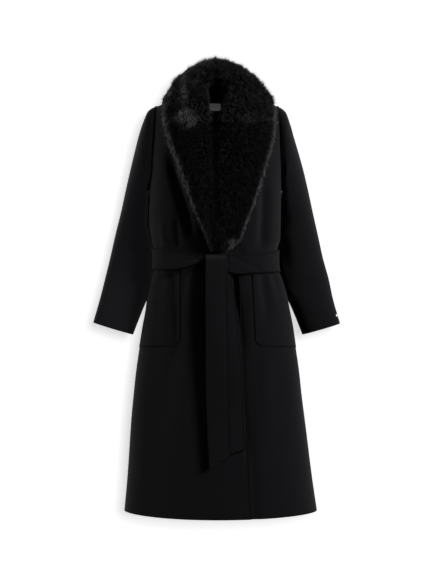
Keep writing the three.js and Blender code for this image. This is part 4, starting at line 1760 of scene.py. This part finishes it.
@dataclass(frozen=True)
class FurFinish:
    """Dense black fur: dark at the root, paler at the tip, and much paler at the tip where it lies
    flat, a painted highlight.
    """

    name: str
    root: float = 0.011
    tip: float = 0.015
    # Tip colour where the fur lies flat: a painted highlight.
    shine: float = 0.26
    rough: float = 0.6
    gloss: float = 0.1

    def build(self) -> bpy.types.Material:
        """Makes the material from the strands' own share along.

        Returns:
            The material.
        """
        material, shader, out = new_material(self.name)
        share, highlight_share = (
            shader.add("ShaderNodeAttribute", attribute_name=name, attribute_type="GEOMETRY")
            for name in ("along", "brushed")
        )
        place = shader.add("ShaderNodeTexCoord").outputs["Object"]
        patch = shader.add("ShaderNodeTexNoise", {"Vector": place, "Scale": 90.0, "Detail": 2.0})
        # Where the fur lies flat the tip colour rises towards a much paler one: a painted
        # highlight.
        tip = shader.add("ShaderNodeMapRange", {0: highlight_share.outputs["Fac"], 3: self.tip, 4: self.shine})
        level = shader.add(
            "ShaderNodeMapRange", {0: share.outputs["Fac"], 3: self.root, 4: tip.outputs[0]}
        )
        mottle = shader.add(
            "ShaderNodeMapRange", {0: patch.outputs[0], 1: 0.3, 2: 0.7, 3: 0.7, 4: 1.3}
        )
        lit = shader.math("MULTIPLY", level.outputs[0], mottle.outputs[0])
        shader.surface(
            out, {"Base Color": lit, "Roughness": self.rough, "Specular IOR Level": self.gloss}
        )
        return material


@dataclass(frozen=True)
class LabelFinish:
    """Plain grey woven satin with a fine rib."""

    name: str
    colour: tuple[float, float, float] = (0.30, 0.30, 0.31)

    def build(self) -> bpy.types.Material:
        """Makes the material, with ribs across the label.

        Returns:
            The material.
        """
        material, shader, out = new_material(self.name)
        place = shader.add("ShaderNodeTexCoord").outputs["Object"]
        rib = shader.add(
            "ShaderNodeTexWave",
            {"Vector": place, "Scale": 420.0, "Distortion": 0.4},
            bands_direction="Z",
        )
        bump = shader.add(
            "ShaderNodeBump", {"Height": rib.outputs[1], "Strength": 0.3, "Distance": 0.0003}
        )
        shader.surface(
            out,
            {
                "Base Color": (*self.colour, 1.0),
                "Roughness": 0.5,
                "Sheen Weight": 0.2,
                "Normal": bump.outputs[0],
            },
        )
        return material


@dataclass(frozen=True)
class MetalFinish:
    """Small polished plate with a light grain."""

    name: str
    colour: tuple[float, float, float] = (0.85, 0.86, 0.88)

    def build(self) -> bpy.types.Material:
        """Makes the material.

        Returns:
            The material.
        """
        material, shader, out = new_material(self.name)
        place = shader.add("ShaderNodeTexCoord").outputs["Object"]
        grain = shader.add("ShaderNodeTexNoise", {"Vector": place, "Scale": 1500.0})
        rough = shader.add("ShaderNodeMapRange", {0: grain.outputs[0], 3: 0.2, 4: 0.4})
        shader.surface(
            out,
            {"Base Color": (*self.colour, 1.0), "Metallic": 1.0, "Roughness": rough.outputs[0]},
        )
        return material


@dataclass(frozen=True)
class Lamp:
    """A rectangular soft light that faces the middle of the coat.

    Azimuth is in degrees from the front towards the wearer's left, and elevation in degrees
    above the horizon. Distance and size are in metres, and power is in watts.
    """

    name: str
    azimuth: float
    elevation: float
    far: float
    size: tuple[float, float]
    power: float

    def build(self) -> bpy.types.Object:
        """Makes the light.

        Returns:
            The light.
        """
        data = bpy.data.lights.new(self.name, "AREA")
        data.shape, data.size, data.size_y, data.energy = "RECTANGLE", *self.size, self.power
        lamp = bpy.data.objects.new(self.name, data)
        a, e = math.radians(self.azimuth), math.radians(self.elevation)
        way = np.array([math.sin(a) * math.cos(e), -math.cos(a) * math.cos(e), math.sin(e)])
        lamp.location = way * self.far + np.array([0, 0, -0.55])
        lamp.rotation_euler = Vector(way).to_track_quat("Z", "Y").to_euler()
        bpy.context.scene.collection.objects.link(lamp)
        return lamp


@dataclass
class Studio:
    """Camera, soft lights, the wall close behind the coat and the pale floor.

    The wall and the floor are given in metres. The wall's glow is how bright it looks with no
    light on it, and ambient is the strength of the even light on all things.
    """

    key: Lamp = Lamp("key", 61, 24, 4.2, (1.1, 1.6), 205)
    rim: Lamp = Lamp("rim_left", -96, 12, 3.2, (0.9, 2.2), 175)
    behind: Lamp = Lamp("wall_light", 6, 4.5, 4.5, (0.7, 0.7), 92)
    label: Lamp = Lamp("label_light", -4, 6, 3.4, (0.3, 0.3), 17)
    sleeve: Lamp = Lamp("sleeve_light", -20, 8, 3.4, (1.0, 1.6), 72)
    sensor: float = 36.0
    wall_y: float = 0.2
    wall_glow: float = 0.66
    floor_z: float = -1.62
    ambient: float = 0.03

    def camera(self) -> None:
        """A level camera straight in front, as far off as the coat's perspective shows."""
        data = bpy.data.cameras.new("camera")
        data.sensor_width = self.sensor
        data.lens = self.sensor * VIEW_FAR / (PHOTO_ROWS * ROW_SHOWS)
        camera = bpy.data.objects.new("camera", data)
        camera.location = (0, -VIEW_FAR * MM, VIEW_HEIGHT * MM)
        camera.rotation_euler = (math.pi / 2, 0, 0)
        bpy.context.scene.collection.objects.link(camera)
        bpy.context.scene.camera = camera

    def all_but(self, name: str, *left_out: bpy.types.Object) -> bpy.types.Collection:
        """A light linking collection of everything but some objects.

        Args:
            name: name of the collection.
            left_out: the objects that a light with this collection doesn't reach.

        Returns:
            The collection.
        """
        group = bpy.data.collections.new(name)
        for number, item in enumerate(left_out):
            group.objects.link(item)
            group.collection_objects[number].light_linking.link_state = "EXCLUDE"
        return group

    def light_one(self, lamp: Lamp, piece: bpy.types.Object) -> None:
        """Makes a light that falls on one piece alone, and that no other piece shades.

        Args:
            lamp: the light.
            piece: what it falls on.
        """
        only = bpy.data.collections.new(f"{lamp.name}_only")
        only.objects.link(piece)
        linking = lamp.build().light_linking
        linking.receiver_collection = linking.blocker_collection = only

    def world(self) -> None:
        """White to the camera and a weak even light to everything else."""
        world = bpy.data.worlds.new("room")
        world.use_nodes = True
        world.node_tree.nodes.clear()
        shader = Shader(world.node_tree)
        path = shader.add("ShaderNodeLightPath")
        level = shader.add(
            "ShaderNodeMapRange", {0: path.outputs["Is Camera Ray"], 3: self.ambient, 4: 1.0}
        )
        sky = shader.add("ShaderNodeBackground", {0: (1, 1, 1, 1), 1: level.outputs[0]})
        out = shader.add("ShaderNodeOutputWorld", {0: sky.outputs[0]})
        out.is_active_output = True
        bpy.context.scene.world = world

    def plane(
        self,
        name: str,
        corners: list[tuple[float, float, float]],
        glow: float,
        cast: float,
        diffuse: float,
    ) -> bpy.types.Object:
        """A pale flat sheet of the studio, clear from behind.

        Args:
            name: name of the sheet.
            corners: its four corners in metres.
            glow: how bright it looks with no light on it.
            cast: share of that glow that falls on the coat.
            diffuse: share of the light on it that it gives back.

        Returns:
            The sheet.
        """
        points = np.array(corners) / MM
        sheet = make_object(name, points, [np.array([[0, 1, 2, 3]])])
        material, shader, out = new_material(f"{name}_paint")
        paint = shader.add("ShaderNodeBsdfDiffuse", {0: (*[diffuse] * 3, 1)})
        seen = shader.add("ShaderNodeLightPath").outputs["Is Camera Ray"]
        level = shader.add("ShaderNodeMapRange", {0: seen, 3: glow * cast, 4: glow})
        lit = shader.add("ShaderNodeEmission", {0: (1, 1, 1, 1), 1: level.outputs[0]})
        both = shader.add("ShaderNodeAddShader", {0: paint.outputs[0], 1: lit.outputs[0]})
        clear = shader.add("ShaderNodeBsdfTransparent")
        behind = shader.add("ShaderNodeNewGeometry").outputs["Backfacing"]
        mixed = shader.add(
            "ShaderNodeMixShader", {0: behind, 1: both.outputs[0], 2: clear.outputs[0]}
        )
        shader.tree.links.new(mixed.outputs[0], out.inputs[0])
        sheet.data.materials.append(material)
        return sheet

    def build(self) -> None:
        """Sets the whole studio."""
        self.camera()
        self.world()
        y, low = self.wall_y, self.floor_z
        bpy.context.scene.view_settings.view_transform = "Standard"
        wall = self.plane(
            "wall", [(-6, y, low), (6, y, low), (6, y, 4), (-6, y, 4)], self.wall_glow, 1.0, 0.8
        )
        floor = self.plane(
            "floor", [(-6, -6, low), (6, -6, low), (6, 6, low), (-6, 6, low)], 0.8, 0.1, 0.1
        )
        stage = bpy.data.collections.new("stage_only")
        stage.objects.link(wall)
        stage.objects.link(floor)
        sleeve = bpy.data.objects["sleeve_right_cloth"]
        key, rim, behind = (lamp.build() for lamp in (self.key, self.rim, self.behind))
        key.light_linking.receiver_collection = self.all_but("not_the_stage", wall, floor)
        rim.light_linking.receiver_collection = self.all_but("not_the_sleeve", wall, floor, sleeve)
        behind.light_linking.receiver_collection = stage
        self.light_one(self.label, bpy.data.objects["neck_label"])
        self.light_one(self.sleeve, sleeve)


def main() -> None:
    """Builds the coat over its solids, then the studio."""
    logging.basicConfig(level=logging.INFO, format="%(message)s")
    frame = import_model()
    nap, edge = nap_group(), edge_group()
    # The second wool is darker and has less sheen: painted shade along the rims and edges of the
    # cloth.
    painted_edge_shade = WoolFinish("black_wool_edge", colour=(0.0026, 0.0026, 0.0032), sheen=0.028)
    wool = (WoolFinish("black_wool").build(nap, edge), painted_edge_shade.build(nap, edge))
    skin = FurFinish("fur_pelt_black", root=0.001, tip=0.0015, shine=0.0015, rough=0.9, gloss=0.05)
    pelt = (skin.build(),)
    hair = (FurFinish("black_fur").build(),)
    form = CoatForm()
    bodice = Bodice(form)
    made = bodice.build(wool)
    made += Sleeves(form, bodice).build(wool)
    made += Pockets(bodice).build(wool)
    made += Sash(form).build(wool)
    made += FurCollar(form).build(pelt, hair)
    for node, finish in (
        ("neck_label", LabelFinish("grey_label")),
        ("cuff_tag", MetalFinish("bright_plate")),
    ):
        piece = frame["nodes"][node]
        piece.data.materials.clear()
        piece.data.materials.append(finish.build())
    Studio().build()
    for piece in made:
        log.info("%s: %d faces", piece.name, len(piece.data.polygons))


if __name__ == "__main__":
    main()
